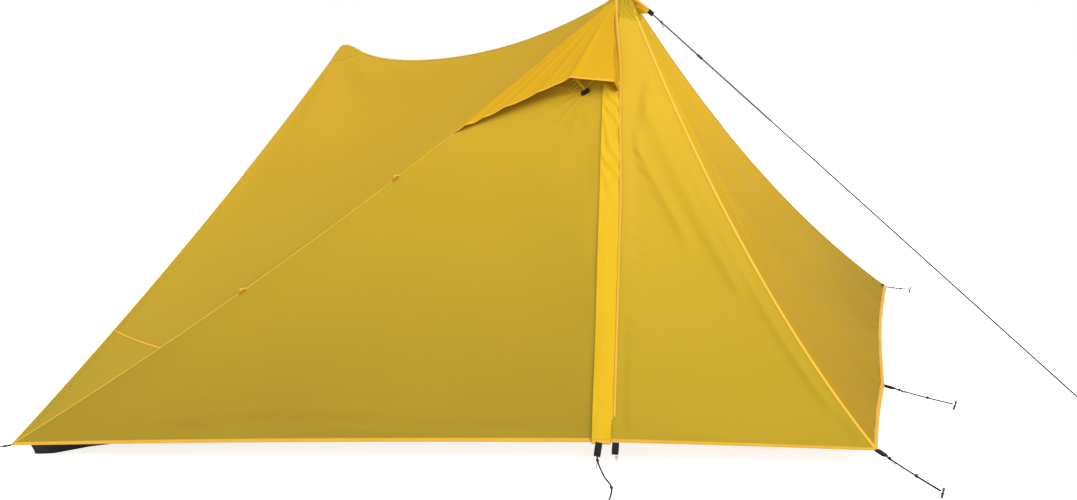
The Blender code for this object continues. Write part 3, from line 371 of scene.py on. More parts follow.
class ClothPanel:
    """A three-sided panel of cloth between three seams.

    With corner shares (a, b, c): the flat triangle's point plus, for each seam, the step from
    its chord to its curve at b / (a + b), times (a + b) squared. A panel of the door's face also
    takes the hip's slack: 4 a (1 - a) v to the power SLACK_POWER times the hip's sag, where v
    rises from the hem (0) to the hip (1), so the face bends without a crease at the door's fold.
    """

    def __init__(self, corners, seams, slack=None):
        self.corners = np.array(corners)
        self.seams = seams
        self.slack = slack
        a, b, c = self.corners
        self.out = outward(a, b, c)
        self.lengths = [size_of(self.corners[(k + 1) % 3] - self.corners[k]) for k in range(3)]
        self.area = size_of(np.cross(b - a, c - a)) / 2.0
        self.heights = [2.0 * self.area / length for length in self.lengths]

    def at(self, shares):
        shares = np.asarray(shares, float)
        total = shares @ self.corners
        for k in range(3):
            both = shares[:, k] + shares[:, (k + 1) % 3]
            t = share_of(shares[:, (k + 1) % 3], both)
            chord = self.corners[k] + times(t, self.corners[(k + 1) % 3] - self.corners[k])
            total = total + (self.seams[k](t) - chord) * (both ** 2)[:, None]
        if self.slack is not None:
            sag, low, high = self.slack
            first = shares[:, 0]
            v = low + (high - low) * share_of(shares[:, 2], shares[:, 1] + shares[:, 2])
            total = total + times(4.0 * first * (1.0 - first) * np.maximum(v, 0.0) ** SLACK_POWER, sag)
        return total

    def distances(self, shares):
        """How far each point lies from each of the three seams."""
        return np.stack([shares[:, (k + 2) % 3] * self.heights[k] for k in range(3)], axis=1)

    def along(self, k, shares):
        """How far along seam k each point lies, in metres."""
        after = shares[:, (k + 1) % 3]
        return share_of(after, shares[:, k] + after) * self.lengths[k]

    def near_seam(self, k, t, distance, lift=0.0):
        """Points that far inside seam k, at the shares t along it, lifted out of the cloth."""
        inside = np.full_like(t, distance / self.heights[k])
        shares = np.zeros((len(t), 3))
        shares[:, k] = (1.0 - t) * (1.0 - inside)
        shares[:, (k + 1) % 3] = t * (1.0 - inside)
        shares[:, (k + 2) % 3] = inside
        return self.at(shares) + lift * self.out


def triangle_grid(n):
    """The shares of a three-sided grid of n steps, and its triangles."""
    i, j = crossed(np.arange(n + 1), np.arange(n + 1))
    i, j = i[i + j <= n], j[i + j <= n]
    shares = np.stack((i, j, n - i - j), axis=1) / n
    lookup = np.zeros((n + 2, n + 2), int)
    lookup[i, j] = np.arange(len(i))
    lower = i + j < n
    upper = i + j < n - 1
    first = np.stack((lookup[i, j], lookup[i + 1, j], lookup[i, j + 1]), axis=1)[lower]
    i, j = i[upper], j[upper]
    second = np.stack((lookup[i + 1, j], lookup[i + 1, j + 1], lookup[i, j + 1]), axis=1)
    return shares, np.vstack((first, second))


def grid_faces(rows, columns):
    i, j = crossed(np.arange(rows - 1), np.arange(columns - 1))
    a = (i * columns + j).ravel()
    return np.stack((a, a + 1, a + columns + 1, a + columns), axis=1)


def ring_faces(rings, count, first=0):
    """Four-sided faces between rings of that many points each, the first of which has that index."""
    row = first + count * np.arange(rings - 1)[:, None]
    n = np.arange(count)
    after = (n + 1) % count
    corners = np.broadcast_arrays(row + n, row + after, row + count + after, row + count + n)
    return np.stack(corners, axis=-1).reshape(-1, 4)


def point_normals(points, faces):
    """Each point's normal, from all the faces round it."""
    corners = points[faces]
    cross = np.cross(corners[:, 1] - corners[:, 0], corners[:, -1] - corners[:, 0])
    normals = np.zeros_like(points)
    for k in range(faces.shape[1]):
        np.add.at(normals, faces[:, k], cross)
    return unit(normals)


def open_edges(faces):
    """The directed edges of the faces that no other face shares."""
    after = np.roll(faces, -1, axis=1)
    edges = np.vstack([np.stack((faces[:, k], after[:, k]), axis=1) for k in range(faces.shape[1])])
    count = faces.max() + 1
    return edges[~np.isin(edges @ (count, 1), edges @ (1, count))]


def shell(points, faces, uv, thickness, middle=False):
    """A sheet with thickness: the faces, the same faces turned over on their inner side, and a rim.

    The inner side lies under the outer one along each point's normal; middle puts the given
    points half way between the two.
    """
    normals = point_normals(points, faces)
    outer = points + 0.5 * thickness * normals * middle
    edges = open_edges(faces)
    count = len(points)
    rim = np.stack((edges[:, 1], edges[:, 0], edges[:, 0] + count, edges[:, 1] + count), axis=1)
    both = faces.tolist() + (faces[:, ::-1] + count).tolist() + rim.tolist()
    return np.vstack((outer, outer - thickness * normals)), both, np.vstack((uv, uv))


def add_piece(name, points, faces, finish, body, uv=None, thickness=0.0, middle=False):
    """Link a mesh made of points, faces and per-point pattern coordinates, riding on a body."""
    if thickness:
        points, faces, uv = shell(np.asarray(points), np.asarray(faces), uv, thickness, middle)
    mesh = bpy.data.meshes.new(name)
    faces = faces.tolist() if isinstance(faces, np.ndarray) else faces
    mesh.from_pydata(np.asarray(points).tolist(), [], faces)
    if uv is not None:
        layer = mesh.uv_layers.new(name="cloth")
        corners = np.zeros(len(mesh.loops), np.int32)
        mesh.loops.foreach_get("vertex_index", corners)
        layer.data.foreach_set("uv", np.asarray(uv, np.float32)[corners].ravel())
    mesh.materials.append(finish)
    mesh.shade_smooth()
    if thickness:
        mesh.set_sharp_from_angle(angle=math.radians(RIM_ANGLE))
    piece = bpy.data.objects.new(name, mesh)
    bpy.context.scene.collection.objects.link(piece)
    if body:
        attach(piece, body)
    return piece


def turned_outwards(points, faces, out):
    """The faces, turned over if they look against the given direction."""
    a, b, c = (points[faces[:, k]] for k in range(3))
    return faces if np.sum(np.cross(b - a, c - a) @ out) > 0 else faces[:, ::-1]


def flat_pattern(points, start, end, normal):
    """Pattern coordinates along the line from start to end, and across it."""
    level = unit(end - start)
    return np.stack(((points - start) @ level, (points - start) @ np.cross(normal, level)), axis=1)


def grid_sheet(name, points, out, pattern, finish, body, thickness, middle=False):
    """A sheet of doubled cloth on a grid of points, which looks in the given direction."""
    flat = points.reshape(-1, 3)
    faces = turned_outwards(flat, grid_faces(*points.shape[:2]), out)
    uv = np.stack([row.ravel() for row in pattern], axis=1)
    piece = add_piece(name, flat, faces, finish, body, uv, thickness, middle)
    return piece


def path_lengths(path):
    return np.concatenate(((0.0,), np.cumsum(np.linalg.norm(np.diff(path, axis=0), axis=1))))


def sweep(name, rings, finish, body):
    """A closed profile carried along a path: rings of points in order, joined and capped."""
    rings = np.asarray(rings, float)
    count, size = rings.shape[:2]
    faces = ring_faces(count, size).tolist()
    faces += [list(range(size - 1, -1, -1)), list(range((count - 1) * size, count * size))]
    middles = rings.mean(axis=1)
    pattern = np.broadcast_arrays(path_lengths(middles)[:, None], path_lengths(rings[0])[None, :])
    uv = np.stack(pattern, axis=-1).reshape(-1, 2)
    first = np.cross(rings[1, 0] - rings[0, 0], rings[0, 1] - rings[0, 0])
    if np.dot(first, rings[0, 0] - middles[0]) > 0:
        faces = [face[::-1] for face in faces]
    piece = add_piece(name, rings.reshape(-1, 3), faces, finish, body, uv)
    return piece


def tube(name, path, radius, finish, body, sides=8):
    """A round cord: a circle carried along the path, with its frame kept level where it can be."""
    path = np.asarray(path, float)
    along = unit(np.gradient(path, axis=0))
    beside = unit(np.cross(along, UP if abs(along[0][2]) < 0.95 else ALONG))
    above = np.cross(beside, along)
    angle = circle(sides)[None, :, None]
    rings = path[:, None] + radius * (np.cos(angle) * beside[:, None] + np.sin(angle) * above[:, None])
    return sweep(name, rings, finish, body)


def strand(name, path, radius, finish, body="tent"):
    """A thin cord of six sides."""
    return tube(name, path, radius, finish, body, 6)


def ribbon(name, path, across, width, thickness, finish, body):
    """A flat strap: a thin rectangle with eased edges carried along the path."""
    path = np.asarray(path, float)
    along = unit(np.gradient(path, axis=0))
    side = unit(np.broadcast_to(across, path.shape) - np.sum(along * across, axis=1)[:, None] * along)
    above = np.cross(side, along)
    outline = [(-0.5, -0.2), (-0.5, 0.2), (-0.46, 0.5), (0.46, 0.5), (0.5, 0.2), (0.5, -0.2),
               (0.46, -0.5), (-0.46, -0.5)]
    rings = np.stack([path + side * (width * a) + above * (thickness * b) for a, b in outline], axis=1)
    return sweep(name, rings, finish, body)


def smooth_route(points, spacing):
    """Points at even steps along a Catmull-Rom curve through the route's own points."""
    route = [np.asarray(p, dtype=float) for p in points]
    padded = [2 * route[0] - route[1]] + route + [2 * route[-1] - route[-2]]
    t = np.linspace(0.0, 1.0, ROUTE_STEPS, endpoint=False)[:, None]
    parts = []
    for k in range(1, len(padded) - 2):
        a, b, c, d = padded[k - 1:k + 3]
        parts.append(0.5 * (2 * b + (c - a) * t + (2 * a - 5 * b + 4 * c - d) * t ** 2
                            + (3 * b - a - 3 * c + d) * t ** 3))
    dense = np.vstack(parts + [route[-1][None, :]])
    lengths = path_lengths(dense)
    even = steps(max(4, math.ceil(lengths[-1] / spacing) + 1), 0.0, lengths[-1])
    return np.stack([np.interp(even, lengths, dense[:, k]) for k in range(3)], axis=1)


class Wire:
    """A value in a material, on which arithmetic adds Math nodes."""

    def __init__(self, finish, socket):
        self.finish = finish
        self.socket = socket

    def math(self, operation, *values):
        made = self.finish.node("ShaderNodeMath", {"operation": operation}, dict(enumerate(values)))
        return Wire(self.finish, made.outputs[0])

    def __add__(self, other):
        return self.math("ADD", self, other)

    def __sub__(self, other):
        return self.math("SUBTRACT", self, other)

    def __rsub__(self, other):
        return self.math("SUBTRACT", other, self)

    def __mul__(self, other):
        return self.math("MULTIPLY", self, other)

    def __truediv__(self, other):
        return self.math("DIVIDE", self, other)

    def __rtruediv__(self, other):
        return self.math("DIVIDE", other, self)

    __radd__ = __add__
    __rmul__ = __mul__

    def sine(self):
        return self.math("SINE", self)

    def fraction(self):
        return self.math("FRACT", self)

    def size(self):
        return self.math("ABSOLUTE", self)

    def larger(self, other):
        return self.math("MAXIMUM", self, other)

    def between(self, low, high):
        """0 at low and 1 at high, held outside them."""
        made = self.finish.node("ShaderNodeMapRange", {"clamp": True},
                                {"Value": self, "From Min": low, "From Max": high})
        return Wire(self.finish, made.outputs[0])


class Finish:
    """A material while it is made. Every node of it comes from one method."""

    def __init__(self, name):
        self.material = bpy.data.materials.new(name)
        self.material.use_nodes = True
        self.tree = self.material.node_tree
        self.shader = self.tree.nodes["Principled BSDF"]

    def node(self, kind, settings=None, inputs=None):
        """A node of that type, with its settings set first and then its sockets' values or links."""
        made = self.tree.nodes.new(kind)
        for key, value in (settings or {}).items():
            setattr(made, key, value)
        for key, value in (inputs or {}).items():
            self.feed(made.inputs[key], value)
        return made

    def feed(self, socket, value):
        if isinstance(value, Wire):
            self.tree.links.new(value.socket, socket)
        else:
            socket.default_value = value

    def object_place(self):
        return Wire(self, self.node("ShaderNodeTexCoord").outputs["Object"])

    def pattern_place(self):
        return Wire(self, self.node("ShaderNodeUVMap", {"uv_map": "cloth"}).outputs[0])

    def parts(self, place):
        made = self.node("ShaderNodeSeparateXYZ", None, {0: place})
        return [Wire(self, out) for out in made.outputs]

    def noise(self, place, scale, detail=3.0):
        made = self.node("ShaderNodeTexNoise", None, {"Vector": place, "Scale": scale, "Detail": detail})
        return Wire(self, made.outputs[0])

    def mix(self, share, a, b):
        made = self.node("ShaderNodeMix", {"data_type": "RGBA"}, {0: share, 6: colour(a), 7: colour(b)})
        return Wire(self, made.outputs[2])

    def bump(self, height, distance, strength=1.0):
        inputs = {"Height": height, "Distance": distance, "Strength": strength}
        return Wire(self, self.node("ShaderNodeBump", None, inputs).outputs[0])

    def set(self, **values):
        for key, value in values.items():
            self.feed(self.shader.inputs[key.replace("_", " ")], value)

    def let_light_through(self, share, tint):
        """Mix in a sheet that passes light from its other side."""
        sheet = self.node("ShaderNodeBsdfTranslucent", None, {"Color": colour(tint)})
        mixed = self.node("ShaderNodeMixShader", None, {0: share})
        self.tree.links.new(self.shader.outputs[0], mixed.inputs[1])
        self.tree.links.new(sheet.outputs[0], mixed.inputs[2])
        self.tree.links.new(mixed.outputs[0], self.tree.nodes["Material Output"].inputs["Surface"])


def tinted(tint, red, green=None, blue=None):
    """A colour with its parts scaled, by one share or by one each."""
    shares = (red,) * 3 if green is None else (red, green, blue)
    return tuple(part * share for part, share in zip(tint, shares))


def colour(value):
    return value if isinstance(value, Wire) or len(value) == 4 else (*value, 1.0)


def grey(value):
    return value, value, value


def ripstop(finish, pattern, square):
    """Thicker threads every few millimetres both ways: the distance to the nearest grid line."""
    x, y, _ = finish.parts(pattern)
    lines = [((v / square).fraction() - 0.5).size().between(0.44, 0.5) for v in (x, y)]
    return lines[0].larger(lines[1])


def cloth_finish(name, high, low, glow, through=0.3):
    """Thin coated ripstop with fine creases and threads, its colour running from the high colour above to a
    darker, greener low colour near the ground: painted shade by height.
    """
    finish = Finish(name)
    place = finish.object_place()
    _, _, height = finish.parts(place)
    threads = ripstop(finish, finish.pattern_place(), 0.005)
    blotch = finish.noise(place, 2.2)
    # Painted shade: the colour darkens and greens from high to low with height.
    base = finish.mix(height.between(0.05, 0.95), low, high)
    base = finish.mix(blotch.between(0.35, 0.75) * 0.18, base, tinted(high, 0.86))
    base = finish.mix(threads * 0.10, base, tinted(high, 0.8))
    crinkle = finish.noise(place, 26.0, 5.0)
    finish.set(Base_Color=base, Roughness=blotch * 0.12 + 0.78, Specular_IOR_Level=0.10,
               Normal=finish.bump(crinkle * 0.8 + threads * 0.03, 0.0030, 0.6))
    finish.let_light_through(through, glow)
    return finish.material


def stitched_finish(name, tint, edge):
    """Folded binding or tape: a fine weave, and a row of stitches along it near its edge."""
    finish = Finish(name)
    x, y, _ = finish.parts(finish.pattern_place())
    weave = (x * 2400.0).sine() * 0.5 + (y * 2400.0).sine() * 0.5
    stitch = ((x / 0.0032).fraction() - 0.5).size().between(0.34, 0.18)
    row = (y - 0.0025).size().between(0.0007, 0.0002)
    blotch = finish.noise(finish.object_place(), 14.0)
    base = finish.mix(blotch.between(0.3, 0.7) * 0.5, tint, edge)
    base = finish.mix(stitch * row * 0.5, base, tuple(min(1.0, c * 1.25 + 0.02) for c in tint))
    finish.set(Base_Color=base, Roughness=blotch * 0.15 + 0.5, Specular_IOR_Level=0.15,
               Normal=finish.bump(weave * 0.1 + stitch * row + blotch * 0.8, 0.0008, 0.6))
    return finish.material


def webbing_finish(name):
    """Black woven webbing: a twill of raised ribs, with dust in it."""
    finish = Finish(name)
    x, y, _ = finish.parts(finish.pattern_place())
    twill = ((x + y) * 3200.0).sine() * ((x - y) * 3200.0).sine()
    dust = finish.noise(finish.object_place(), 60.0)
    base = finish.mix(dust.between(0.4, 0.8) * 0.6, grey(0.004), (0.014, 0.014, 0.013))
    finish.set(Base_Color=base, Roughness=dust * 0.2 + 0.65, Specular_IOR_Level=0.2,
               Normal=finish.bump(twill, 0.0003, 0.8))
    return finish.material


def cord_finish(name, dark, light):
    """Braided cord: two sets of strands that cross, with light tracer strands."""
    finish = Finish(name)
    x, y, _ = finish.parts(finish.pattern_place())
    strands = ((x + y * 1.6) * 2600.0).sine() * ((x - y * 1.6) * 2600.0).sine()
    tracer = ((x + y * 0.8) / 0.009).fraction().between(0.80, 0.86)
    base = finish.mix(tracer * 0.6 + strands.between(-0.2, 1.0) * 0.3, dark, light)
    finish.set(Base_Color=base, Roughness=strands * 0.08 + 0.6, Specular_IOR_Level=0.2,
               Normal=finish.bump(strands, 0.0003, 0.7))
    return finish.material


def moulded_finish(name, tint, roughness):
    """Moulded plastic: a fine grain and slight wear."""
    finish = Finish(name)
    grain = finish.noise(finish.object_place(), 900.0, 2.0)
    wear = finish.noise(finish.object_place(), 45.0)
    lighter = tuple(c * 1.8 + 0.01 for c in tint)
    finish.set(Base_Color=finish.mix(wear.between(0.55, 0.75) * 0.5, tint, lighter),
               Roughness=wear * 0.15 + roughness, Normal=finish.bump(grain, 0.0002, 0.5))
    return finish.material


def metal_finish(name, tint, roughness, brushing):
    """Anodised aluminium: fine lines from drawing, and a few scuffs to bare metal."""
    finish = Finish(name)
    place = finish.object_place()
    stretched = finish.node("ShaderNodeMapping", None, {"Vector": place, "Scale": brushing})
    lines = finish.noise(Wire(finish, stretched.outputs[0]), 1.0, 4.0)
    scuffs = finish.noise(place, 70.0).between(0.66, 0.74)
    finish.set(Base_Color=finish.mix(scuffs * 0.5, tint, (0.45, 0.45, 0.46)), Metallic=0.95,
               Roughness=lines * 0.2 + roughness, Normal=finish.bump(lines, 0.0001, 0.4))
    return finish.material


def foam_finish(name):
    """Closed-cell foam: small pores, darker where a hand has held it."""
    finish = Finish(name)
    place = finish.object_place()
    pores = finish.node("ShaderNodeTexVoronoi", None, {"Vector": place, "Scale": 700.0})
    cells = Wire(finish, pores.outputs["Distance"])
    held = finish.noise(place, 18.0)
    finish.set(Base_Color=finish.mix(held, (0.018, 0.018, 0.019), (0.045, 0.045, 0.046)),
               Roughness=held * 0.1 + 0.85, Normal=finish.bump(cells, 0.0004, 0.8))
    return finish.material


def floor_finish(name):
    """Black coated floor cloth: soft creases and a little dust near the ground."""
    finish = Finish(name)
    place = finish.object_place()
    _, _, height = finish.parts(place)
    threads = ripstop(finish, finish.pattern_place(), 0.006)
    creases = finish.noise(place, 18.0, 5.0)
    dust = height.between(0.03, 0.0) * creases.between(0.4, 0.7)
    base = finish.mix(dust * 0.3, grey(0.004), (0.03, 0.029, 0.027))
    finish.set(Base_Color=base, Roughness=creases * 0.2 + 0.5, Specular_IOR_Level=0.25,
               Normal=finish.bump(creases + threads * 0.05, 0.003, 0.6))
    return finish.material


def fly_panels():
    """The ten panels of the fly by node: kind, side, body and surface. Both panels of a seam use it."""
    side_hips = {"front": seam(FRONT_RIGHT, FRONT_PEAK, SIDE_HIP_SAG),
                 "rear": seam(REAR_LEFT, REAR_PEAK, half_turn(SIDE_HIP_SAG))}
    right_hip = seam(REAR_RIGHT, FRONT_PEAK, RIGHT_END_HIP_SAG)
    left_hip = seam(FRONT_LEFT, REAR_PEAK, LEFT_END_HIP_SAG)
    rear_door_hip = seam(REAR_RIGHT, REAR_PEAK, half_turn(DOOR_HIP_SAG))
    fold_height = ZIP_TOP_RISE / PEAK_RISE
    panels = {}

    def add(node, kind, side, corners, seams, slack=None, body="tent"):
        panels[node] = (kind, side, body, ClothPanel(corners, seams, slack))

    def left_hem(t):
        return half_turn(right_hem_line(t))

    add("fly_front_roof", "roof", "front", (FRONT_LEFT, FRONT_PEAK, REAR_PEAK),
        (DOOR_HIP, ridge_line, backwards(left_hip)))
    add("fly_rear_roof", "roof", "rear", (REAR_RIGHT, REAR_PEAK, FRONT_PEAK),
        (rear_door_hip, backwards(ridge_line), backwards(right_hip)))
    add("fly_right_end", "end", "front", (FRONT_RIGHT, REAR_RIGHT, FRONT_PEAK),
        (right_hem_line, right_hip, backwards(side_hips["front"])))
    add("fly_left_end", "end", "rear", (REAR_LEFT, FRONT_LEFT, REAR_PEAK),
        (left_hem, left_hip, backwards(side_hips["rear"])))
    for side, turn in SIDES.items():
        left, right, peak = turn(FRONT_LEFT), turn(FRONT_RIGHT), turn(FRONT_PEAK)
        foot, top, sag = turn(ZIP_FOOT), turn(ZIP_TOP), turn(DOOR_HIP_SAG)
        zip_side = bent_line(foot, top, peak, ZIP_SHARE_OF_EDGE)
        add(f"{side}_side_panel", "side", side, (foot, right, peak),
            (seam(foot, right, SIDE_HEM_BOW * turn(SLOPE)), side_hips[side], backwards(zip_side)))
        add(f"{side}_gusset", "gusset", side, (left, top, peak),
            (seam(left, top), seam(top, peak), seam(peak, left)), (sag, fold_height, 1.0))
        add(f"{side}_door", "door", side, (left, foot, top),
            (seam(left, foot, DOOR_HEM_BOW * turn(SLOPE)), seam(foot, top), seam(top, left)),
            (sag, 0.0, fold_height), f"{side}_door")
    return panels


PANELS = fly_panels()
PANEL_STEPS = {"roof": 150, "end": 170, "side": 170, "gusset": 120, "door": 180}
TRIM_CLEAR = 0.010
FLAP_CLEAR = 0.078
FLAT_EDGE = 0.030

# Folds from each pulled point of a kind of panel: the point, its face, and what pulled_folds takes
PULLED = {
    "door": ((FRONT_LEFT, FRONT_OUT, 46, 0.30, 0.0048, 0.4, 0.12),),
    "side": ((FRONT_PEAK, FRONT_OUT, 15, 0.50, 0.0090, 0.6, 0.16),),
    "end": ((REAR_RIGHT, RIGHT_OUT, 30, 0.22, 0.0056, 0.0, 0.1),
            (FRONT_RIGHT, RIGHT_OUT, 24, 0.16, 0.0040, 0.5, 0.1),
            (STAKED_HEM, RIGHT_OUT, 16, 0.14, 0.0050, 0.3, 0.06)),
    "roof": ((FRONT_PEAK, ROOF_OUT, 20, 0.50, 0.0050, 0.2, 0.16),
             (REAR_PEAK, ROOF_OUT, 16, 0.30, 0.0040, 0.9, 0.16),
             (FRONT_LEFT, ROOF_OUT, 30, 0.28, 0.0036, 0.0, 0.12)),
}
STRUT_PULL = (15, 0.11, 0.0075, 0.9, 0.035)

# Folds beside the side hip: distance from it, and where along it each one starts and ends
SIDE_FOLDS = ((0.028, 0.1, 1.9), (0.064, 0.6, 1.75), (0.125, 0.9, 1.65))
END_FOLDS = ((0.024, 0.05, 1.7), (0.058, 0.3, 1.35), (0.115, 0.45, 1.1))

# The seam of each panel of a door's face that lies on the door's fold
FOLD_SEAM = {"door": 2, "gusset": 0}


def pulled_folds(points, centre, out, count, reach, height, phase, start):
    """Folds that radiate from a pulled point.

    Height times a crest in cos(count times the angle round the point), rising over the first
    part of the way from it and fading as exp(-distance / reach). Each crest is narrower than
    its trough.
    """
    side = unit(np.cross(out, UP))
    rise = np.cross(side, out)
    step = points - centre
    x, y = step @ side, step @ rise
    distance = np.hypot(x, y)
    crest = np.exp(1.3 * (np.cos(count * np.arctan2(y, x) + phase) - 1.0)) - 0.35
    return height * crest * smooth(distance / start) * np.exp(-distance / reach)


def long_folds(distance, along, places, width, height):
    """Raised folds beside a seam: a bell curve of that width over each place, fading along it."""
    total = np.zeros_like(distance)
    for place, first, last in places:
        bell = np.exp(-((distance - place) / width) ** 2)
        total += height * bell * smooth((along - first) / 0.15) * smooth((last - along) / 0.25)
    return total


def ripples(height, turns, drift=0.0, drift_turns=0.0, distance=0.0, reach=1.0):
    """A sine of the turns, whose phase drifts by another sine, fading as exp(-distance / reach)."""
    return height * wave(turns + drift * wave(drift_turns)) * np.exp(-distance / reach)


def panel_ripples(kind, panel, shares, distances):
    """The puckers beside a panel's seams and the long shallow waves across it."""
    d0, d1, d2 = distances.T
    s0, s1, s2 = (panel.along(k, shares) for k in range(3))
    if kind == "door":
        spread = smooth(s0 / 0.6) * smooth((panel.lengths[0] - s0) / 0.25)
        return (spread * (ripples(0.0056, d0 / 0.070, 0.22, s0 / 1.3, d0, 0.085)
                          + ripples(0.0022, d0 / 0.031, 0.5, s0 / 0.63, d0, 0.03))
                + ripples(0.0022, s1 / 0.31, 0.3, s1 / 0.47, d1, 0.07)
                + ripples(0.0050, s0 / 1.15 + d0 / 0.9, 0.2, d0 / 0.7)
                + ripples(0.0030, d0 / 0.55 - s0 / 2.1))
    if kind == "side":
        beyond = np.maximum(d2 - FLAP_CLEAR, 0.0)
        low = smooth((panel.lengths[2] - s2) / 0.4)
        return (low * ripples(0.0022, (s2 + 1.1 * beyond) / 0.085, 0.5, s2 / 0.37, beyond, 0.04)
                + long_folds(d1, s1, SIDE_FOLDS, 0.018, 0.0080)
                + ripples(0.0026, d0 / 0.060, 0.2, s0 / 0.4, d0, 0.06)
                + ripples(0.0050, s0 / 0.9 + d0 / 1.4))
    if kind == "end":
        return (long_folds(d2, s2, END_FOLDS, 0.015, 0.0060)
                + ripples(0.0055, s0 / 0.19, 0.35, s0 / 0.61, d0, 0.16)
                + ripples(0.0050, s0 / 0.8 + d0 / 1.1))
    return ripples(0.0018, s1 / 0.19, 0.4, s1 / 0.41, d1, 0.05) + ripples(0.0060, s0 / 1.4 + d0)


def fold_heights(kind, side, panel, shares, points):
    """How far each point of a panel stands out of its smooth surface: folds, puckers and slack.

    All of it is nothing beside the seams. The folds from the stay's foot alone cross a door's fold.
    """
    turn = SIDES[side]
    distances = panel.distances(shares)
    clear = np.full(3, TRIM_CLEAR)
    if kind in FOLD_SEAM:
        clear[FOLD_SEAM[kind]] = 0.0
    elif kind == "side":
        clear[2] = FLAP_CLEAR
    inside = smooth((distances - clear) / FLAT_EDGE)
    total = 0.0
    if kind in FOLD_SEAM:
        total = pulled_folds(points, turn(STRUT_FOOT), turn(FRONT_OUT), *STRUT_PULL)
        total = total * np.delete(inside, FOLD_SEAM[kind], axis=1).prod(axis=1)
    if kind == "gusset":
        return total
    inner = panel_ripples(kind, panel, shares, distances)
    for centre, out, *folds in PULLED[kind]:
        inner = inner + pulled_folds(points, turn(centre), turn(out), *folds)
    held = np.prod(inside, axis=1)
    for peak in (FRONT_PEAK, REAR_PEAK):
        held = held * smooth((np.linalg.norm(points - peak, axis=1) - 0.95 * CAP_REACH) / 0.13)
    if kind == "door":
        held = held * smooth(distances[:, FOLD_SEAM["door"]] / 0.45)
    return total + inner * held


def rounded_top(points):
    """Points near a peak, lowered by a soft limit so that the cloth rounds over the pole's grip."""
    over = (points[..., 2] - PEAK_HEIGHT + 2.0 * PEAK_ROUNDING) / PEAK_ROUNDING
    return points - times(PEAK_ROUNDING * np.logaddexp(0.0, over), UP)


def blend_over_fold(piece, side):
    """Bake a door piece's placement into its mesh. The fold's point and the direction away from it are worked
    out but not used.
    """
    panel = PANELS[f"{side}_door"][3]
    fold = panel.at([(0.5, 0.0, 0.5)])[0]
    away = unit(np.cross(panel.out, panel.corners[2] - panel.corners[0]))
    if np.dot(away, panel.corners[1] - fold) < 0:
        away = -away
    tuple(fold + DOOR_FOLD_WIDTH * away)
    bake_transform(piece)


def cloth_panel(node, finishes, thickness, depth):
    """One panel: its smooth surface, moved along its normal by its folds."""
    kind, side, body, panel = PANELS[node]
    shares, faces = triangle_grid(PANEL_STEPS[kind])
    base = panel.at(shares)
    faces = turned_outwards(base, faces, panel.out)
    heights = depth * fold_heights(kind, side, panel, shares, base)
    points = rounded_top(base + point_normals(base, faces) * heights[:, None])
    uv = flat_pattern(base, panel.corners[0], panel.corners[1], panel.out)
    hinged = body != "tent"
    piece = add_piece(f"{node}_cloth", points, faces, finishes[kind], None if hinged else body, uv, thickness)
    if hinged:
        blend_over_fold(piece, side)
    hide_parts(node)


def binding(name, panel, width, finish, body):
    """A folded tape over a panel's hem: outside, round the edge and back inside."""
    t = steps(120)
    profile = [(width, 0.0009), (width * 0.5, 0.0016), (0.001, 0.0016), (-0.001, 0.0004),
               (-0.001, -0.0008), (0.001, -0.0020), (width, -0.0016)]
    rings = np.stack([panel.near_seam(0, t, d, lift) for d, lift in profile], axis=1)
    return sweep(name, rings, finish, body)


def seam_tape(name, first, second, width, finish):
    """A felled seam: a low raised strip over the edge that two panels share.

    First is a panel and its seam, which runs with the strip; second is one that runs against it.
    """
    t = steps(120)
    lift = 0.0011
    profile = ((width, 0.0002), (width * 0.9, lift), (0.0005, lift * 1.3))
    sides = [[panel.near_seam(k, run, inset, rise) for inset, rise in profile]
             for (panel, k), run in ((first, t), (second, 1.0 - t))]
    (a_edge, a_top, a_middle), (b_edge, b_top, b_middle) = sides
    under = first[0].near_seam(first[1], t, 0.0) - 0.0008 * unit(first[0].out + second[0].out)
    rings = np.stack((a_edge, a_top, (a_middle + b_middle) / 2, b_top, b_edge, under), axis=1)
    sweep(name, rounded_top(rings), finish, "tent")


def side_depth(x, rise):
    """How far the slack side hip draws the side panel in, at x along the hem and rise up the slope."""
    peak_share = np.maximum(rise, 0.0) / PEAK_RISE
    zip_x = np.interp(rise, (0.0, ZIP_TOP_RISE, PEAK_RISE), (ZIP_FOOT_X, ZIP_TOP_X, PEAK_X))
    hip_x = HALF_LENGTH + (PEAK_X - HALF_LENGTH) * peak_share
    right_share = np.maximum((1.0 - peak_share) * (x - zip_x) / np.maximum(hip_x - zip_x, TINY), 0.0)
    return 4.0 * right_share * peak_share * float(np.dot(-SIDE_HIP_SAG, FRONT_OUT))


def beside_zip(offset, along, lift):
    """Points that far right of the zip and along it, lifted off the side panel."""
    base = ZIP_FOOT + times(along, ZIP_DIRECTION)
    x, rise = (base - HEM_MIDDLE) @ ALONG, (base - HEM_MIDDLE) @ SLOPE
    return on_front(x + offset, rise, lift - side_depth(x + offset, rise))


def flap_width(along):
    """The flap's width: that of its top, growing by FLAP_WIDER_BELOW over the run under it."""
    return FLAP_WIDTH + FLAP_WIDER_BELOW * smooth((ZIP_LENGTH - along) / FLAP_WIDER_OVER)


def flap_lift(share):
    """The flap's height over the panel: level by the free edge, then down to its sewn edge."""
    fall = smooth((share - FLAP_FLAT) / (1.0 - FLAP_FLAT))
    return FLAP_LIFT + (FLAP_SEAT - FLAP_LIFT) * fall


def corner_lift(share):
    return FLAP_CORNER_LIFT * smooth((share - 0.5) / 0.4)


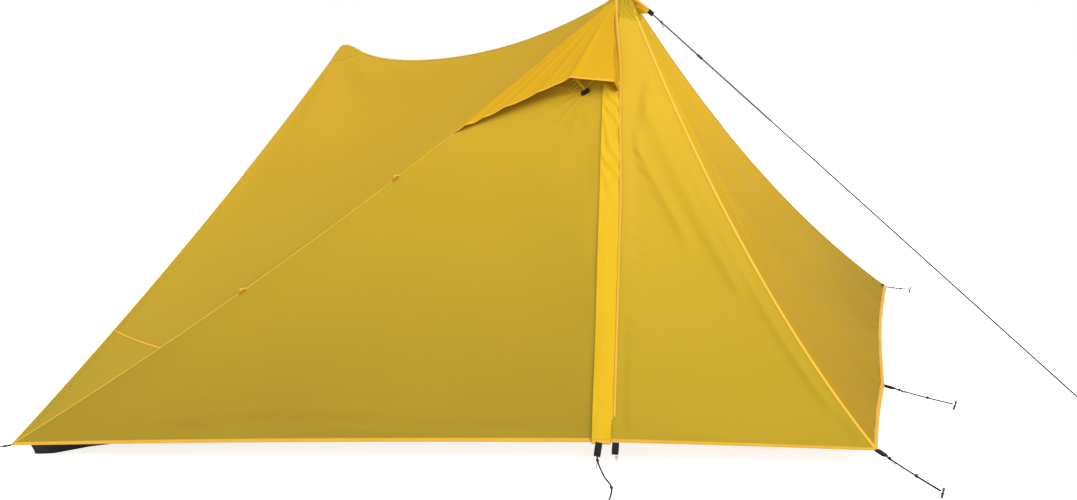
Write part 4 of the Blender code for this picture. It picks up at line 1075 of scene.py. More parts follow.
def storm_flap(side, finish, thickness):
    """The flap over the zip, from the free edge (share 0) to the sewn edge (share 1).

    Lift as in flap_lift, plus creases that slant across it near its top and long shallow ones
    below. Under its stitching's end it opens a little and its corner is cut back.
    """
    turn = SIDES[side]
    along, share = crossed(steps(260, -FLAP_OVERHANG, ZIP_LENGTH), steps(30))
    width = flap_width(along) - FLAP_NOTCH_DEPTH * smooth((FLAP_NOTCH - along) / 0.006)
    across = share * width + FLAP_FREE_EDGE * (1.0 - share) * smooth((0.9 - along) / 0.9)
    middle = smooth(share / 0.2) * smooth((1.0 - share) / 0.2)
    near_top = smooth((along - 0.60) / 0.35)
    creases = ripples(0.0042, (along + 1.9 * across) / 0.088, 0.25, along / 0.21)
    lift = flap_lift(share) + middle * near_top * creases
    lift = lift + middle * ripples(0.0013, (along - 0.8 * across) / 0.19, 0.3, along / 0.5)
    lift = lift + corner_lift(share) * smooth((FLAP_NOTCH - along) / 0.02)
    free = ripples(0.0012, along / 0.43) - 0.0018 * smooth((along - 0.06) / 0.2)
    points = beside_zip(across, along, lift + free * (1.0 - share))
    piece = grid_sheet(f"{side}_storm_flap_cloth", turn(points), turn(FRONT_OUT), (along, across), finish,
                       "tent", thickness)
    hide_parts(f"{side}_storm_flap")
    width = FLAP_WIDTH + 0.8 * FLAP_WIDER_BELOW


def border_line(along):
    """The seam at the flap's right: beside the zip, and above it bending in to the hood's upper end."""
    beyond = np.maximum(along - ZIP_LENGTH, 0.0)
    base = ZIP_FOOT + times(np.minimum(along, ZIP_LENGTH), ZIP_DIRECTION)
    x = (base - HEM_MIDDLE) @ ALONG + flap_width(along) - BORDER_BEND * smooth(beyond / BORDER_BEND_OVER)
    rise = (base - HEM_MIDDLE) @ SLOPE + beyond
    return on_front(x, rise, 0.0025 * smooth(beyond / 0.05) - side_depth(x, rise))


def flap_edges(side, finish):
    """The seam at the flap's right from near the hem up to the peak, and the flap's bottom hem."""
    turn = SIDES[side]
    above = steps(40, ZIP_LENGTH + 0.004, ZIP_LENGTH + BORDER_ABOVE_ZIP)
    along = np.concatenate((steps(120, FLAP_NOTCH, ZIP_LENGTH), above))
    line = border_line(along)
    half = 0.0040 + 0.0022 * smooth((along - ZIP_LENGTH + 0.04) / 0.08)
    profile = [(-1.0, 0.0004), (-1.0, 0.0020), (0.0, 0.0027), (1.0, 0.0016), (1.0, 0.0001)]
    rings = np.stack([line + times(a * half, ALONG) + b * OUT for a, b in profile], axis=1)
    sweep(f"{side}_flap_border", turn(rings), finish, "tent")
    share = steps(24)
    across = share * (FLAP_WIDTH + FLAP_WIDER_BELOW - FLAP_NOTCH_DEPTH) + FLAP_FREE_EDGE * (1.0 - share)
    lift = flap_lift(share) + corner_lift(share)
    profile = [(-0.0085, 0.0006), (-0.0085, -0.0012), (0.0035, -0.0010), (0.0035, 0.0009)]
    rows = [beside_zip(across, np.full_like(across, a), lift + b) for a, b in profile]
    sweep(f"{side}_flap_hem", turn(np.stack(rows, axis=1)), finish, "tent")


def flap_head(side, finish, thickness):
    """The flap's upper run under the hood: from the zip's top to the seam at its right.

    It stands off the cloth near the zip, and more at its foot, where the slider passes under it.
    """
    turn = SIDES[side]
    rise, share = crossed(steps(60, -0.01, HEAD_RISE), steps(12))
    right = border_line(ZIP_LENGTH + np.maximum(rise, 0.0).ravel()).reshape(*rise.shape, 3)
    left = ZIP_TOP + times(rise, SLOPE) + times(0.02 * rise / HEAD_RISE, ALONG)
    lift = 0.0022 + 0.0045 * smooth(1.0 - rise / 0.12) * (1.0 - share)
    lift = lift + 0.0050 * smooth((0.022 - rise) / 0.024)
    points = left + (right - left) * share[..., None] + times(lift * (1.0 - 0.6 * share), OUT)
    grid_sheet(f"{side}_flap_head", turn(points), turn(FRONT_OUT), (rise, share * FLAP_WIDTH), finish,
               "tent", thickness)


def zip_track(side, tape_finish, teeth_finish):
    """The zip: a tape on each edge and a row of teeth between them."""
    turn = SIDES[side]
    along = steps(90, 0.006, ZIP_LENGTH - 0.006)
    for name, body, low, high, lift in (("tape", "tent", 0.0016, 0.0110, 0.0006),
                                        ("door_tape", f"{side}_door", -0.0110, 0.0004, -0.0016)):
        profile = [(low, lift), (high, lift), (high, lift + ZIP_TAPE), (low, lift + ZIP_TAPE)]
        rings = np.stack([beside_zip(a, along, b) for a, b in profile], axis=1)
        piece = sweep(f"{side}_zip_{name}", turn(rings), tape_finish, body)
        if body == "tent":
            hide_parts(f"{side}_zip")
    places = np.arange(0.008, ZIP_LENGTH - 0.010, TOOTH_PITCH)
    tooth = [(a, b, c) for a in (0.0010, 0.0038) for b in (0.0, TOOTH_PITCH * 0.55) for c in (0.0014, 0.0022)]
    offset, step, lift = np.array(tooth).T
    points = beside_zip(offset, places[:, None] + step, lift)
    box = np.array([(0, 1, 3, 2), (4, 6, 7, 5), (0, 4, 5, 1), (2, 3, 7, 6), (0, 2, 6, 4), (1, 5, 7, 3)])
    faces = (box[None] + len(tooth) * np.arange(len(places))[:, None, None]).reshape(-1, 4)
    piece = add_piece(f"{side}_zip_teeth", turn(points.reshape(-1, 3)), faces, teeth_finish, "tent")


def zip_pull(side, finish, cord):
    """The slider with a domed back, and a short cord pull hanging from it."""
    turn = SIDES[side]
    body = f"{side}_zip_slider"
    across = unit(np.cross(ZIP_DIRECTION, FRONT_OUT))
    base = ZIP_FOOT + SLIDER_REST * ZIP_DIRECTION + SLIDER_BESIDE * across
    x = steps(15, -1.0, 1.0)
    half = 0.0048 - 0.0016 * x ** 2
    dome = 0.5 * (0.0028 - 0.0008 * x ** 2)
    angle = circle(14)
    rings = (base + times(0.007 * x, ZIP_DIRECTION))[:, None]
    rings = rings + times(times(half, np.cos(angle)), across)
    rings = rings + times(0.0030 + times(dome, np.sin(angle)), FRONT_OUT)
    piece = sweep(f"{side}_zip_slider_body", turn(rings), finish, body)
    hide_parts(f"{side}_zip_slider")
    drop = steps(16)
    path = base + 0.0046 * FRONT_OUT + times(-0.022 * drop, ZIP_DIRECTION)
    path = path + times(0.0016 * wave(drop * 0.8), across)
    tube(f"{side}_zip_pull", turn(path), 0.0010, cord, body, 8)


def hood_corners():
    """The hood's tip, its free lower corner, and its upper end on the hip."""
    lift = HOOD_SEAT * DOOR_HIP_OUT
    tip = DOOR_HIP((DOOR_HIP_LENGTH - HOOD_PEAK_MARGIN - HOOD_LENGTH) / DOOR_HIP_LENGTH) + lift
    upper = DOOR_HIP((DOOR_HIP_LENGTH - HOOD_PEAK_MARGIN) / DOOR_HIP_LENGTH) + lift
    corner = on_front(HALF_LENGTH - HOOD_CORNER_FROM_END, HOOD_CORNER_RISE, HOOD_CORNER_LIFT)
    return tip, corner, upper


def hood_points(a, b, c):
    """The hood for the shares of its tip, corner and upper end, and its normal.

    The flat triangle, plus the stay's push on the free edge (a tent-shaped bump along it times
    (a + b) squared), plus a bow across the right edge and raised folds that fan out from the peak.
    """
    tip, corner, upper = hood_corners()
    normal = unit(np.cross(corner - tip, upper - tip))
    normal = normal if np.dot(normal, FRONT_OUT) > 0 else -normal
    both = a + b
    along = share_of(b, both)
    share = np.minimum(along / HOOD_PROP_SHARE, (1.0 - along) / (1.0 - HOOD_PROP_SHARE))
    share = share - 0.05 * smooth((share - 0.85) / 0.15)
    prop = HOOD_PROP_RISE * SLOPE + HOOD_PROP_LIFT * OUT
    folds = sum(height * np.exp(-((along - place) / width) ** 2) for place, width, height in HOOD_FOLDS)
    folds = folds * smooth(both / 0.5) * smooth(along / 0.04) * smooth((1.0 - along) / 0.08)
    slack = -HOOD_EDGE_SLACK * hump(along / HOOD_PROP_SHARE) ** 2 * both ** 2 * smooth((1.0 - both) / 0.2)
    lift = HOOD_EDGE_BOW * 4.0 * b * c + folds + slack + 0.0004
    points = np.stack((a, b, c), axis=1) @ np.array((tip, corner, upper)) + times(share * both ** 2, prop)
    return points + times(lift, normal), normal


def hood_side(side, finish, thickness):
    """The fold that closes the hood's right side: straight lines from its edge in to the seam below.

    It rides on no body, and its placement is baked into its mesh.
    """
    turn = SIDES[side]
    t, share = crossed(steps(60), steps(14))
    run = t.ravel()
    edge, _ = hood_points(np.zeros_like(run), 1.0 - run, run)
    low = border_line(ZIP_LENGTH - HOOD_SIDE_START + HOOD_SIDE_RUN * run) - 0.006 * ALONG + 0.001 * OUT
    edge, low = edge.reshape(*t.shape, 3), low.reshape(*t.shape, 3)
    points = edge + (low - edge) * share[..., None]
    points = points + times(0.003 * np.sin(np.pi * share) * wave(t * 2.6), ALONG)
    piece = grid_sheet(f"{side}_hood_side", turn(points), turn(ALONG), (t * 0.35, share * 0.04), finish,
                       None, thickness)
    base = turn(on_front(HALF_LENGTH - HOOD_CORNER_FROM_END, HOOD_CORNER_RISE))
    tuple(base + 0.004 * turn(OUT))
    tuple(base + (HOOD_CORNER_LIFT - 0.006) * turn(OUT))
    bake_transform(piece)


def vent_hood(side, finish, edge_finish, thickness):
    """The stiffened visor over the vent, with a folded hem along its free edge."""
    turn = SIDES[side]
    body = f"{side}_vent_hood"
    shares, faces = triangle_grid(90)
    points, normal = hood_points(*shares.T)
    faces = turned_outwards(points, faces, normal)
    tip, corner, upper = hood_corners()
    uv = flat_pattern(points, tip, corner, normal)
    piece = add_piece(f"{side}_hood_cloth", turn(points), faces, finish, body, uv, thickness)
    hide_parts(f"{side}_vent_hood")
    base = size_of(corner - tip)
    height = size_of(np.cross(corner - tip, upper - tip)) / base
    t = steps(90)
    rows = []
    for inset, lift in HOOD_HEM:
        share = inset / height
        edge, _ = hood_points((1.0 - t) * (1.0 - share), t * (1.0 - share), np.full_like(t, share))
        rows.append(edge + lift * normal)
    sweep(f"{side}_hood_hem", turn(np.stack(rows, axis=1)), edge_finish, body)


def stay_pad(side, finish):
    """The black pad that holds the stay's foot to the fly: stadium outlines that shrink upwards.

    It slants up to the right.
    """
    across = unit(ALONG + 0.55 * SLOPE)
    foot = STRUT_FOOT - 0.006 * SLOPE + 0.0004 * OUT
    angle = circle(48)
    outline = times(0.0075 * (np.sign(np.cos(angle)) + np.cos(angle)), across)
    outline = outline + times(0.0080 * np.sin(angle), np.cross(OUT, across))
    scale, height = np.array(PAD_LEVELS).T
    rings = foot + scale[:, None, None] * outline + height[:, None, None] * OUT
    sweep(f"{side}_strut_pad", SIDES[side](rings), finish, "tent")


def door_tie(side, level, finish):
    """A loop of folded ribbon that stands on the hip: a flattened arch with its ends sewn in."""
    turn = SIDES[side]
    place = TIES_FROM_CORNER[level] / DOOR_HIP_LENGTH
    middle = DOOR_HIP(place)
    along = unit(DOOR_HIP(place + 0.01) - DOOR_HIP(place - 0.01))
    up = unit(DOOR_HIP_OUT - np.dot(DOOR_HIP_OUT, along) * along)
    across = np.cross(along, up)
    t = steps(40, -1.0, 1.0)
    arch = 1.0 - t ** 2
    path = middle + times(0.0135 * t * (1.0 - 0.35 * arch), along)
    path = path + times(0.0155 * (1.0 - np.abs(t) ** 2.4) + 0.0016, up) + times(0.006 * arch, across)
    name = f"{side}_door_tie_{level}"
    piece = ribbon(f"{name}_loop", turn(path), turn(across), 0.008, 0.0012, finish, "tent")
    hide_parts(name)
    base = middle + times(steps(12, -0.016, 0.016), along) + 0.0012 * up
    ribbon(f"{name}_stitched_end", turn(base), turn(across), 0.010, 0.0016, finish, "tent")


def peak_ring(side):
    """A peak, and the points at the cap's reach down its five seams, in order round it."""
    turn = SIDES[side]
    peak = turn(FRONT_PEAK)
    end_hips = {"front": seam(FRONT_PEAK, REAR_RIGHT, RIGHT_END_HIP_SAG),
                "rear": seam(REAR_PEAK, FRONT_LEFT, LEFT_END_HIP_SAG)}
    ridge = ridge_line if side == "front" else backwards(ridge_line)
    runs = [seam(peak, turn(FRONT_LEFT), turn(DOOR_HIP_SAG)), seam(peak, turn(ZIP_TOP)),
            seam(peak, turn(FRONT_RIGHT), turn(SIDE_HIP_SAG)), end_hips[side], ridge]
    return peak, np.array([run(min(CAP_REACH / size_of(run(1.0) - peak), 0.3)) for run in runs])


def peak_cap(side, finish):
    """The reinforcement over a peak: a cone over its five seams, a little above the cloth.

    Each point lies on the line from the peak to the edge, lifted along the mean of its face and
    its neighbour, with shallow crumples that grow towards the middle of its height.
    """
    peak, ring = peak_ring(side)
    around, down = 120, 30
    turns = np.linspace(0.0, 5.0, around, endpoint=False)
    first = np.floor(turns).astype(int)
    share = (turns - first)[:, None]
    edge = ring[first % 5] * (1.0 - share) + ring[(first + 1) % 5] * share
    face_out = np.array([outward(peak, ring[k], ring[(k + 1) % 5]) for k in range(5)])
    out = unit(face_out[first % 5] + CAP_NEIGHBOUR * (1.0 - share) * face_out[(first - 1) % 5]
               + CAP_NEIGHBOUR * share * face_out[(first + 1) % 5])
    reach = steps(down)[1:, None]
    crumple = ripples(0.0018, turns * 2.3, 0.6, reach * 1.7) + ripples(0.0013, turns * 5.1 - reach * 2.0)
    lift = 0.0026 + crumple * np.sin(np.pi * reach) * CAP_CRUMPLE[side] - 0.0029 * reach ** 3
    points = peak + (edge - peak)[None] * reach[..., None] + lift[..., None] * out[None]
    top = peak + 0.0020 * unit(face_out.sum(axis=0))
    flat = rounded_top(np.vstack((top[None], points.reshape(-1, 3))))
    k = np.arange(around)
    fan = np.stack((0 * k, 1 + k, 1 + (k + 1) % around), axis=1)
    quads = ring_faces(down - 1, around, 1)
    faces = np.vstack((fan, quads[:, (0, 3, 2)], quads[:, (0, 2, 1)]))
    normal = np.cross(flat[fan[0, 1]] - flat[0], flat[fan[0, 2]] - flat[0])
    if np.dot(normal, out[0]) < 0:
        faces = faces[:, ::-1]
    uv = np.stack(((flat - peak) @ ALONG, (flat - peak) @ SIDES[side](SLOPE)), axis=1)
    piece = add_piece(f"{side}_peak_cap_cloth", flat, faces, finish, "tent", uv, CAP_THICKNESS)
    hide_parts(f"{side}_peak_cap")
    area = sum(size_of(np.cross(ring[n] - peak, ring[(n + 1) % 5] - peak)) / 2 for n in range(5))


def guy_line(side):
    """Where a peak's webbing starts and ends, the guyline's tie point, the way there and across it."""
    peak, ring = peak_ring(side)
    end_out = outward(peak, ring[2], ring[3])
    ground = SIDES[side](vec(*GUY_STAKE))
    tie = tie_point(ground, (ground - peak) * LEVEL, CORD_GAP)
    away = unit(tie - peak)
    away = unit(away - np.dot(away, end_out) * end_out)
    seat = peak + away * PEAK_TAB_START + end_out * PEAK_TAB_SEAT
    direction = unit(tie - seat)
    return seat, seat + direction * PEAK_TAB_LENGTH, tie, direction, unit(np.cross(end_out, direction))


def peak_tab(side, cloth, webbing):
    """A fin of doubled cloth between the peak and the guyline, with black webbing sewn to its point.

    Straight lines join its top edge, along the guyline, to its lower edge, which starts down the
    end panel. It is gathered where it starts, and its folds flatten towards the point.
    """
    seat, end, _, direction, _ = guy_line(side)
    peak, ring = peak_ring(side)
    end_out = outward(peak, ring[2], ring[3])
    down = unit((ring[2] + ring[3]) / 2 - peak)
    lean = unit(np.cross(direction, np.cross(UP, direction)))
    u, v = crossed(steps(50), steps(24))
    reach = PEAK_TAB_LENGTH - 0.006
    top = seat + times(u * reach, direction) + 0.5 * TAB_WIDTH * times(u, lean)
    foot = peak + FIN_FOOT * down + 0.003 * end_out
    tip = seat + reach * direction - 0.5 * TAB_WIDTH * lean
    low = foot + times(u, tip - foot)
    ripple = (1.0 - u) * smooth(u / 0.1) * ripples(0.0016, v * 2.4 + 0.15)
    points = top + (low - top) * v[..., None] + times(ripple, unit(np.cross(lean, direction)))
    piece = grid_sheet(f"{side}_peak_fin", points, SIDES[side](FRONT_OUT), (u * reach, v * 0.05), cloth,
                       "tent", FIN_THICKNESS, True)
    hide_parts(f"{side}_peak_tab")
    path = end + times(steps(12, -0.010, 0.010), direction)
    ribbon(f"{side}_peak_webbing", path, lean, TAB_WIDTH, 0.0026, webbing, "tent")


def floor_corners():
    """The floor's corners: two beside the doors' far corners of the hem, two across from them."""
    near = vec(-HALF_LENGTH + FLOOR_INSET_END, -HALF_DEPTH + FLOOR_INSET_SIDE)
    to_pole = FRONT_PEAK * LEVEL - near
    turn = math.asin(FLOOR_POLE_GAP / np.linalg.norm(to_pole))
    direction = unit(to_pole)
    along = direction * math.cos(turn) + np.cross(UP, direction) * math.sin(turn)
    far = near + along * ((HALF_LENGTH - FLOOR_INSET_END - near[0]) / along[0])
    return np.array((near, far, half_turn(near), half_turn(far)))


def floor_rings(corners):
    """Rings of points down the floor's walls and in over the ground, and the floor's middle.

    Down each wall the edge moves in by a half sine of its height, its top dips between corners,
    and beside the two strapped corners it bulges and is drawn up and out towards the fly.
    """
    share = np.tile(np.linspace(0.0, 1.0, FLOOR_STEPS, endpoint=False), 4)
    first = np.repeat(np.arange(4), FLOOR_STEPS)
    a, b = corners[first], corners[(first + 1) % 4]
    outline = a + (b - a) * share[:, None]
    middle = corners.mean(axis=0)
    side = unit(np.cross(UP, b - a))
    inward = side * np.sign(np.sum(side * (middle - a), axis=1))[:, None]
    outwards = unit(outline - middle)
    bow = np.sin(np.pi * share)
    strapped = (first + (share > 0.5)) % 2 == 0
    from_corner = np.minimum(share, 1.0 - share)
    near = strapped * np.exp(-(from_corner / FLOOR_CORNER) ** 2)
    reach = from_corner * np.linalg.norm(b - a, axis=1)
    bulge = FLOOR_BULGE * strapped * np.exp(-((reach - FLOOR_BULGE_PLACE) / FLOOR_BULGE_WIDTH) ** 2)
    h = steps(12, 1.0, 0.0)[:, None]
    inset = FLOOR_LEAN * bow * np.sin(np.pi * h) + FLOOR_TOP_INSET * bow * h
    inset = inset + ripples(0.0025, np.arange(len(bow)) / 17.0) * bow * h + 0.0004
    height = FLOOR_WALL * h - FLOOR_TOP_DIP * bow * h ** 3 + FLOOR_SEAT
    corner_out = outwards * (FLOOR_CORNER_OUT * near)[:, None] - inward * bulge[:, None]
    walls = (outline + corner_out + inward * inset[..., None] + height[..., None] * UP
             + outwards * (FLOOR_CORNER_PULL * near * h ** 1.5)[..., None])
    r = steps(26)[1:-1, None, None]
    base = (outline + corner_out + inward * 0.0004) * (1.0 - r) + middle * r + FLOOR_SEAT * UP
    return np.concatenate((walls, base)), middle + FLOOR_SEAT * UP


def bathtub_floor(finish):
    """The floor: a flat sheet whose walls stand up round it, with a thin rolled rim."""
    corners = floor_corners()
    rows, middle = floor_rings(corners)
    count = rows.shape[1]
    points = np.vstack((rows.reshape(-1, 3), middle))
    strips = ring_faces(len(rows), count)
    last = (len(rows) - 1) * count
    n = np.arange(count)
    fan = np.stack((last + n, last + (n + 1) % count, np.full_like(n, len(points) - 1)), axis=1)
    faces = np.vstack((strips[:, (0, 1, 2)], strips[:, (0, 2, 3)], fan))
    piece = add_piece("bathtub_floor_cloth", points, faces, finish, "tent", points[:, :2], 0.0005, True)
    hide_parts("bathtub_floor")
    tube("bathtub_floor_rim", np.vstack((rows[0], rows[0][:1])), 0.0016, finish, "tent", 8)


def floor_strap(side, finish):
    """The strap from a floor corner to the hem's corner: flat webbing that hangs a little."""
    turn = SIDES[side]
    near = floor_corners()[0]
    away = unit((FRONT_LEFT - near) * LEVEL)
    start = near + away * 0.0006 + UP * (FLOOR_WALL - STRAP_DROP)
    end = FRONT_LEFT - away * STRAP_WIDTH - UP * STRAP_DROP
    t = steps(24)[:, None]
    path = start * (1.0 - t) + end * t - UP * 0.002 * np.sin(np.pi * t)
    across = unit(np.cross(UP, end - start))
    piece = ribbon(f"{side}_floor_strap_webbing", turn(path), turn(across), STRAP_WIDTH, 0.0011, finish,
                   "tent")
    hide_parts(f"{side}_floor_strap")


def stake_axes(lean_to):
    """Up along a stake, leaning towards the given level direction, and two axes across it."""
    level = unit(vec(lean_to[0], lean_to[1]))
    lean = math.radians(STAKE_LEAN)
    up = math.cos(lean) * UP + math.sin(lean) * level
    across = unit(np.cross(up, level))
    return up, across, np.cross(across, up)


def tie_point(ground, lean_to, gap):
    """Where a cord meets a stake: a gap in front of its inner fin, above the ground."""
    up, _, back = stake_axes(lean_to)
    return ground + up * STAKE_TIE - back * (STAKE_FIN + gap)


def tab_places():
    """The webbing tabs that stakes go straight through: name, point of the hem and level direction."""
    flap = on_front(ZIP_FOOT_X + REAR_TAB_FROM_ZIP, -FLAP_OVERHANG - REAR_TAB_BELOW, FLAP_LIFT + REAR_TAB_OUT)
    return (("rear_left", REAR_LEFT, (-1.0, 1.0)), ("mid_left", half_turn(STAKED_HEM), (-1.0, 0.0)),
            ("rear_zip", half_turn(flap), (0.0, 1.0)))


def stake_places():
    """Each stake's point of the ground and the level direction that it leans towards."""
    places = {name: (stake_ground(name), step) for name, step in CORD_STEPS.items()}
    for name, corner, level in tab_places():
        places[name] = (corner + unit(vec(*level)) * TAB_REACH, level)
    guy = vec(*GUY_STAKE)
    places["peak_guyline"] = (guy, (guy - FRONT_PEAK)[:2])
    return places


def stake(name, ground, lean_to, finish, cord):
    """A peg of three slim fins with a notch below its head and a point, and a loop of cord in the notch.

    The section is a circle whose radius is squeezed between the fins: core + (fin - core) times
    cos(1.5 angle) to the power 14. Rings of it shrink at the notch and the point.
    """
    up, across, back = stake_axes(lean_to)
    angle = circle(48)
    drop, fin, core = np.array(STAKE_RINGS).T
    fin, core = STAKE_SLIM_FIN * fin, STAKE_CORE * core
    radius = core[:, None] + (fin - core)[:, None] * (np.cos(1.5 * angle) ** 2) ** 7
    head = ground * LEVEL + up * STAKE_OUT
    rings = head - drop[:, None, None] * up + radius[..., None] * (
        np.cos(angle)[:, None] * -back + np.sin(angle)[:, None] * across)
    piece = sweep(f"{name}_stake_peg", rings, finish, "tent")
    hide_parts(f"{name}_stake")
    turns = steps(40, 0.0, 2.0 * np.pi)
    loop = head - 0.012 * up + 0.0038 * (times(np.cos(turns), -back) + times(np.sin(turns), across))
    strand(f"{name}_stake_loop", loop - times(0.003 * (1.0 + np.cos(turns)), up), 0.0008, cord)


def staked_tab(name, corner, level, webbing):
    """A short webbing tab with a stake straight through its end."""
    away = unit(vec(*level))
    end = tie_point(corner * LEVEL + away * TAB_REACH, away, TAB_GAP)
    start = corner + away * TAB_GAP
    t = steps(20)[:, None]
    piece = ribbon(f"{name}_tab_webbing", start * (1.0 - t) + end * t, unit(np.cross(UP, end - start)),
                   TAB_WIDTH, 0.0018, webbing, "tent")
    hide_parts(f"{name}_tab")


def knot(name, place, along, size, radius, finish):
    """A tight overhand knot: a torus knot of two and three turns, closed on itself."""
    t = steps(60, 0.0, 2.0 * np.pi)
    side = unit(np.cross(along, UP))
    ring = 1.0 + 0.45 * np.cos(3.0 * t)
    path = (place + times(size * ring * np.cos(2.0 * t), side)
            + times(size * ring * np.sin(2.0 * t), np.cross(side, along))
            + times(size * 0.75 * np.sin(3.0 * t), along))
    return strand(name, path, radius, finish)


def cord_start(name):
    """The point of the hem that a staked cord leaves."""
    if name == "front_zip":
        return on_front(ZIP_FOOT_X + DOOR_TAB_FROM_ZIP, HEM_RISE_AT_ZIP - FLAP_OVERHANG - CORD_DIAMETER / 2,
                        FLAP_LIFT - 0.002)
    return {"front_left": FRONT_LEFT, "front_right": FRONT_RIGHT, "rear_right": REAR_RIGHT,
            "mid_right": STAKED_HEM}[name]


def stake_ground(name):
    """Where a cord's stake enters the ground. That of the zip's cord stands clear of its tab."""
    start = cord_start(name)
    if name == "front_zip":
        start = on_front(ZIP_FOOT_X + REAR_TAB_FROM_ZIP, -FLAP_OVERHANG, FLAP_LIFT)
    elif name == "mid_right":
        start = seam(FRONT_RIGHT, REAR_RIGHT, RIGHT_HEM_SAG)(STAKED_SHARE)
    return (start + vec(*CORD_STEPS[name])) * LEVEL


def cord_route(name):
    """The points that a staked cord passes, from its point of the hem to its stake."""
    start = cord_start(name)
    end = tie_point(stake_ground(name), CORD_STEPS[name], CORD_GAP)
    if name == "front_zip":
        return start, start + ZIP_TAB_DROP, *ZIP_CORD_VIAS, end
    start = start + unit(end - start) * CORD_GAP
    return start, (start + end) / 2 - UP * CORD_SLACK * size_of(end - start), end


def webbing_loop(name, place, direction, length, finish, width):
    """A loop of webbing from a hem: two layers that open round the cord at the far end."""
    across = unit(np.cross(UP if abs(direction[2]) < 0.8 else OUT, direction))
    t = steps(40)
    out = 1.0 - np.abs(2.0 * t - 1.0) ** 2.2
    gap = 0.0019 * np.sign(0.5 - t) * smooth(out / 0.15) * smooth((1.0 - out) / 0.25)
    path = place + times(length * out, direction) + times(gap, np.cross(direction, across))
    return ribbon(name, path, across, width, 0.0012, finish, "tent")


def staked_cord(name, finish, webbing):
    """A short free cord from the hem to its stake, with its webbing loop, a knot and a doubled end."""
    path = smooth_route(cord_route(name), 0.004)
    diameter, width = (ZIP_CORD_DIAMETER, 0.0185) if name == "front_zip" else (CORD_DIAMETER, 0.013)
    piece = tube(f"{name}_cord_line", path, diameter / 2, finish, "tent", 8)
    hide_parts(f"{name}_cord")
    direction = unit(path[6] - path[0])
    beside = unit(np.cross(direction, UP))
    lengths = path_lengths(path)
    loop = webbing_loop(f"{name}_hem_loop", path[0] - 0.006 * direction, direction, 0.038, webbing, width)
    near = path[int(np.searchsorted(lengths, 0.040))]
    far = path[int(np.searchsorted(lengths, lengths[-1] * DOUBLED_SHARE))]
    knots = [knot(f"{name}_hem_knot", near, direction, 0.0026, STRAND, finish),
             knot(f"{name}_line_knot", far, direction, 0.0028, STRAND, finish)]
    after = path[lengths > lengths[-1] * DOUBLED_SHARE]
    doubled = strand(f"{name}_doubled_end", after + 0.0023 * beside, STRAND, finish)
    t = steps(14)[:, None]
    tail = near + t * (0.024 * direction - 0.004 * UP) + np.sin(np.pi * t) * 0.004 * beside
    frayed = strand(f"{name}_tail", tail, 0.0009, finish)


def guyline(finish, plastic):
    """The peak's line to its stake, doubled near the peak and beyond the adjuster."""
    _, tab_end, tie, direction, across = guy_line("front")
    start = tab_end + direction * CORD_GAP
    path = start + times(steps(400), tie - start)
    piece = tube("peak_guyline_line", path, GUY_DIAMETER / 2, finish, "tent", 8)
    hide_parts("peak_guyline")
    t = steps(20)[:, None]
    tied = start + GUY_LOOP * direction
    loop = start + t * GUY_LOOP * direction + np.sin(np.pi * t) * 0.0045 * across
    tail = tied + t * (0.010 * direction - 0.012 * UP)
    length = size_of(tie - start)
    after = start + times(steps(300, ADJUSTER_FROM_PEAK, length), direction) + 0.0022 * across
    pieces = [strand("guyline_peak_loop", loop, 0.0010, finish),
              knot("guyline_peak_knot", tied, direction, 0.0024, 0.0010, finish),
              strand("guyline_knot_tail", tail, 0.0009, finish),
              strand("guyline_doubled_run", after, STRAND, finish),
              adjuster(start + ADJUSTER_FROM_PEAK * direction, direction, across, plastic)]


def adjuster(middle, direction, across, finish):
    """The line adjuster: a flattened bar that swells at both ends and at its middle."""
    x = steps(40, -1.0, 1.0)
    swell = 0.72 + 0.28 * np.cos(2.0 * np.pi * x) ** 2
    ends = np.sqrt(np.clip(1.0 - np.abs(x) ** 8, 0.02, 1.0))
    angle = circle(20)
    rings = (middle + times(x * ADJUSTER_LENGTH / 2, direction))[:, None]
    rings = rings + times(times(0.0048 * swell * ends, np.cos(angle)), np.cross(across, direction))
    rings = rings + times(times(0.0036 * ends, np.sin(angle)), across)
    piece = sweep("line_adjuster_bar", rings, finish, "line_adjuster")
    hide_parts("line_adjuster")
    return piece


def paint(nodes, finish):
    """Give solids that stay as they are a better finish."""
    for node in nodes:
        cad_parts[node].data.materials.clear()
        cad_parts[node].data.materials.append(finish)


class TentCloth(PropertyGroup):
    thickness: FloatProperty(name="Cloth thickness", description="Thickness of the fly's cloth", default=0.0005,
                             unit="LENGTH")
    folds: FloatProperty(name="Fold depth", description="Depth of the folds beside the real one's", default=1.0)
    hem: FloatProperty(name="Hem width", description="Width of the folded tape round the hem", default=0.0105,
                       unit="LENGTH")
    # High and low are the ends of a painted shade gradient by height: low is the same cloth in painted shade.
    high: FloatVectorProperty(name="Upper cloth", description="Colour of the cloth high up", subtype="COLOR",
                              default=(0.37, 0.245, 0.012))
    low: FloatVectorProperty(name="Lower cloth", description="Colour of the cloth near the ground",
                             subtype="COLOR", default=(0.24, 0.185, 0.012))
    glow: FloatVectorProperty(name="Light through", description="Colour of light that passes the cloth",
                              subtype="COLOR", default=(0.75, 0.45, 0.012))
    bright: FloatVectorProperty(name="Doubled cloth", description="Colour of the flap and the hood",
                                subtype="COLOR", default=(0.465, 0.288, 0.0085))
    trim: FloatVectorProperty(name="Trim", description="Colour of hems and seams", subtype="COLOR",
                              default=(0.50, 0.29, 0.020))


class TentStudio(PropertyGroup):
    lens: FloatProperty(name="Lens", description="Focal length in millimetres", default=CAMERA_LENS)
    world: FloatProperty(name="Sky", description="Strength of the white surroundings", default=1.0)
    sun: FloatProperty(name="Key light", description="Strength of the broad key light", default=3.9)
    softness: FloatProperty(name="Softness", description="Width of the key light as seen from the tent",
                            default=math.radians(50.0), subtype="ANGLE")
    table: FloatProperty(name="Floor glow", default=0.82,
                         description="Light from under the white floor, which softens shadows")
    grid: IntProperty(name="Floor size", description="Width of the studio floor in metres", default=60)


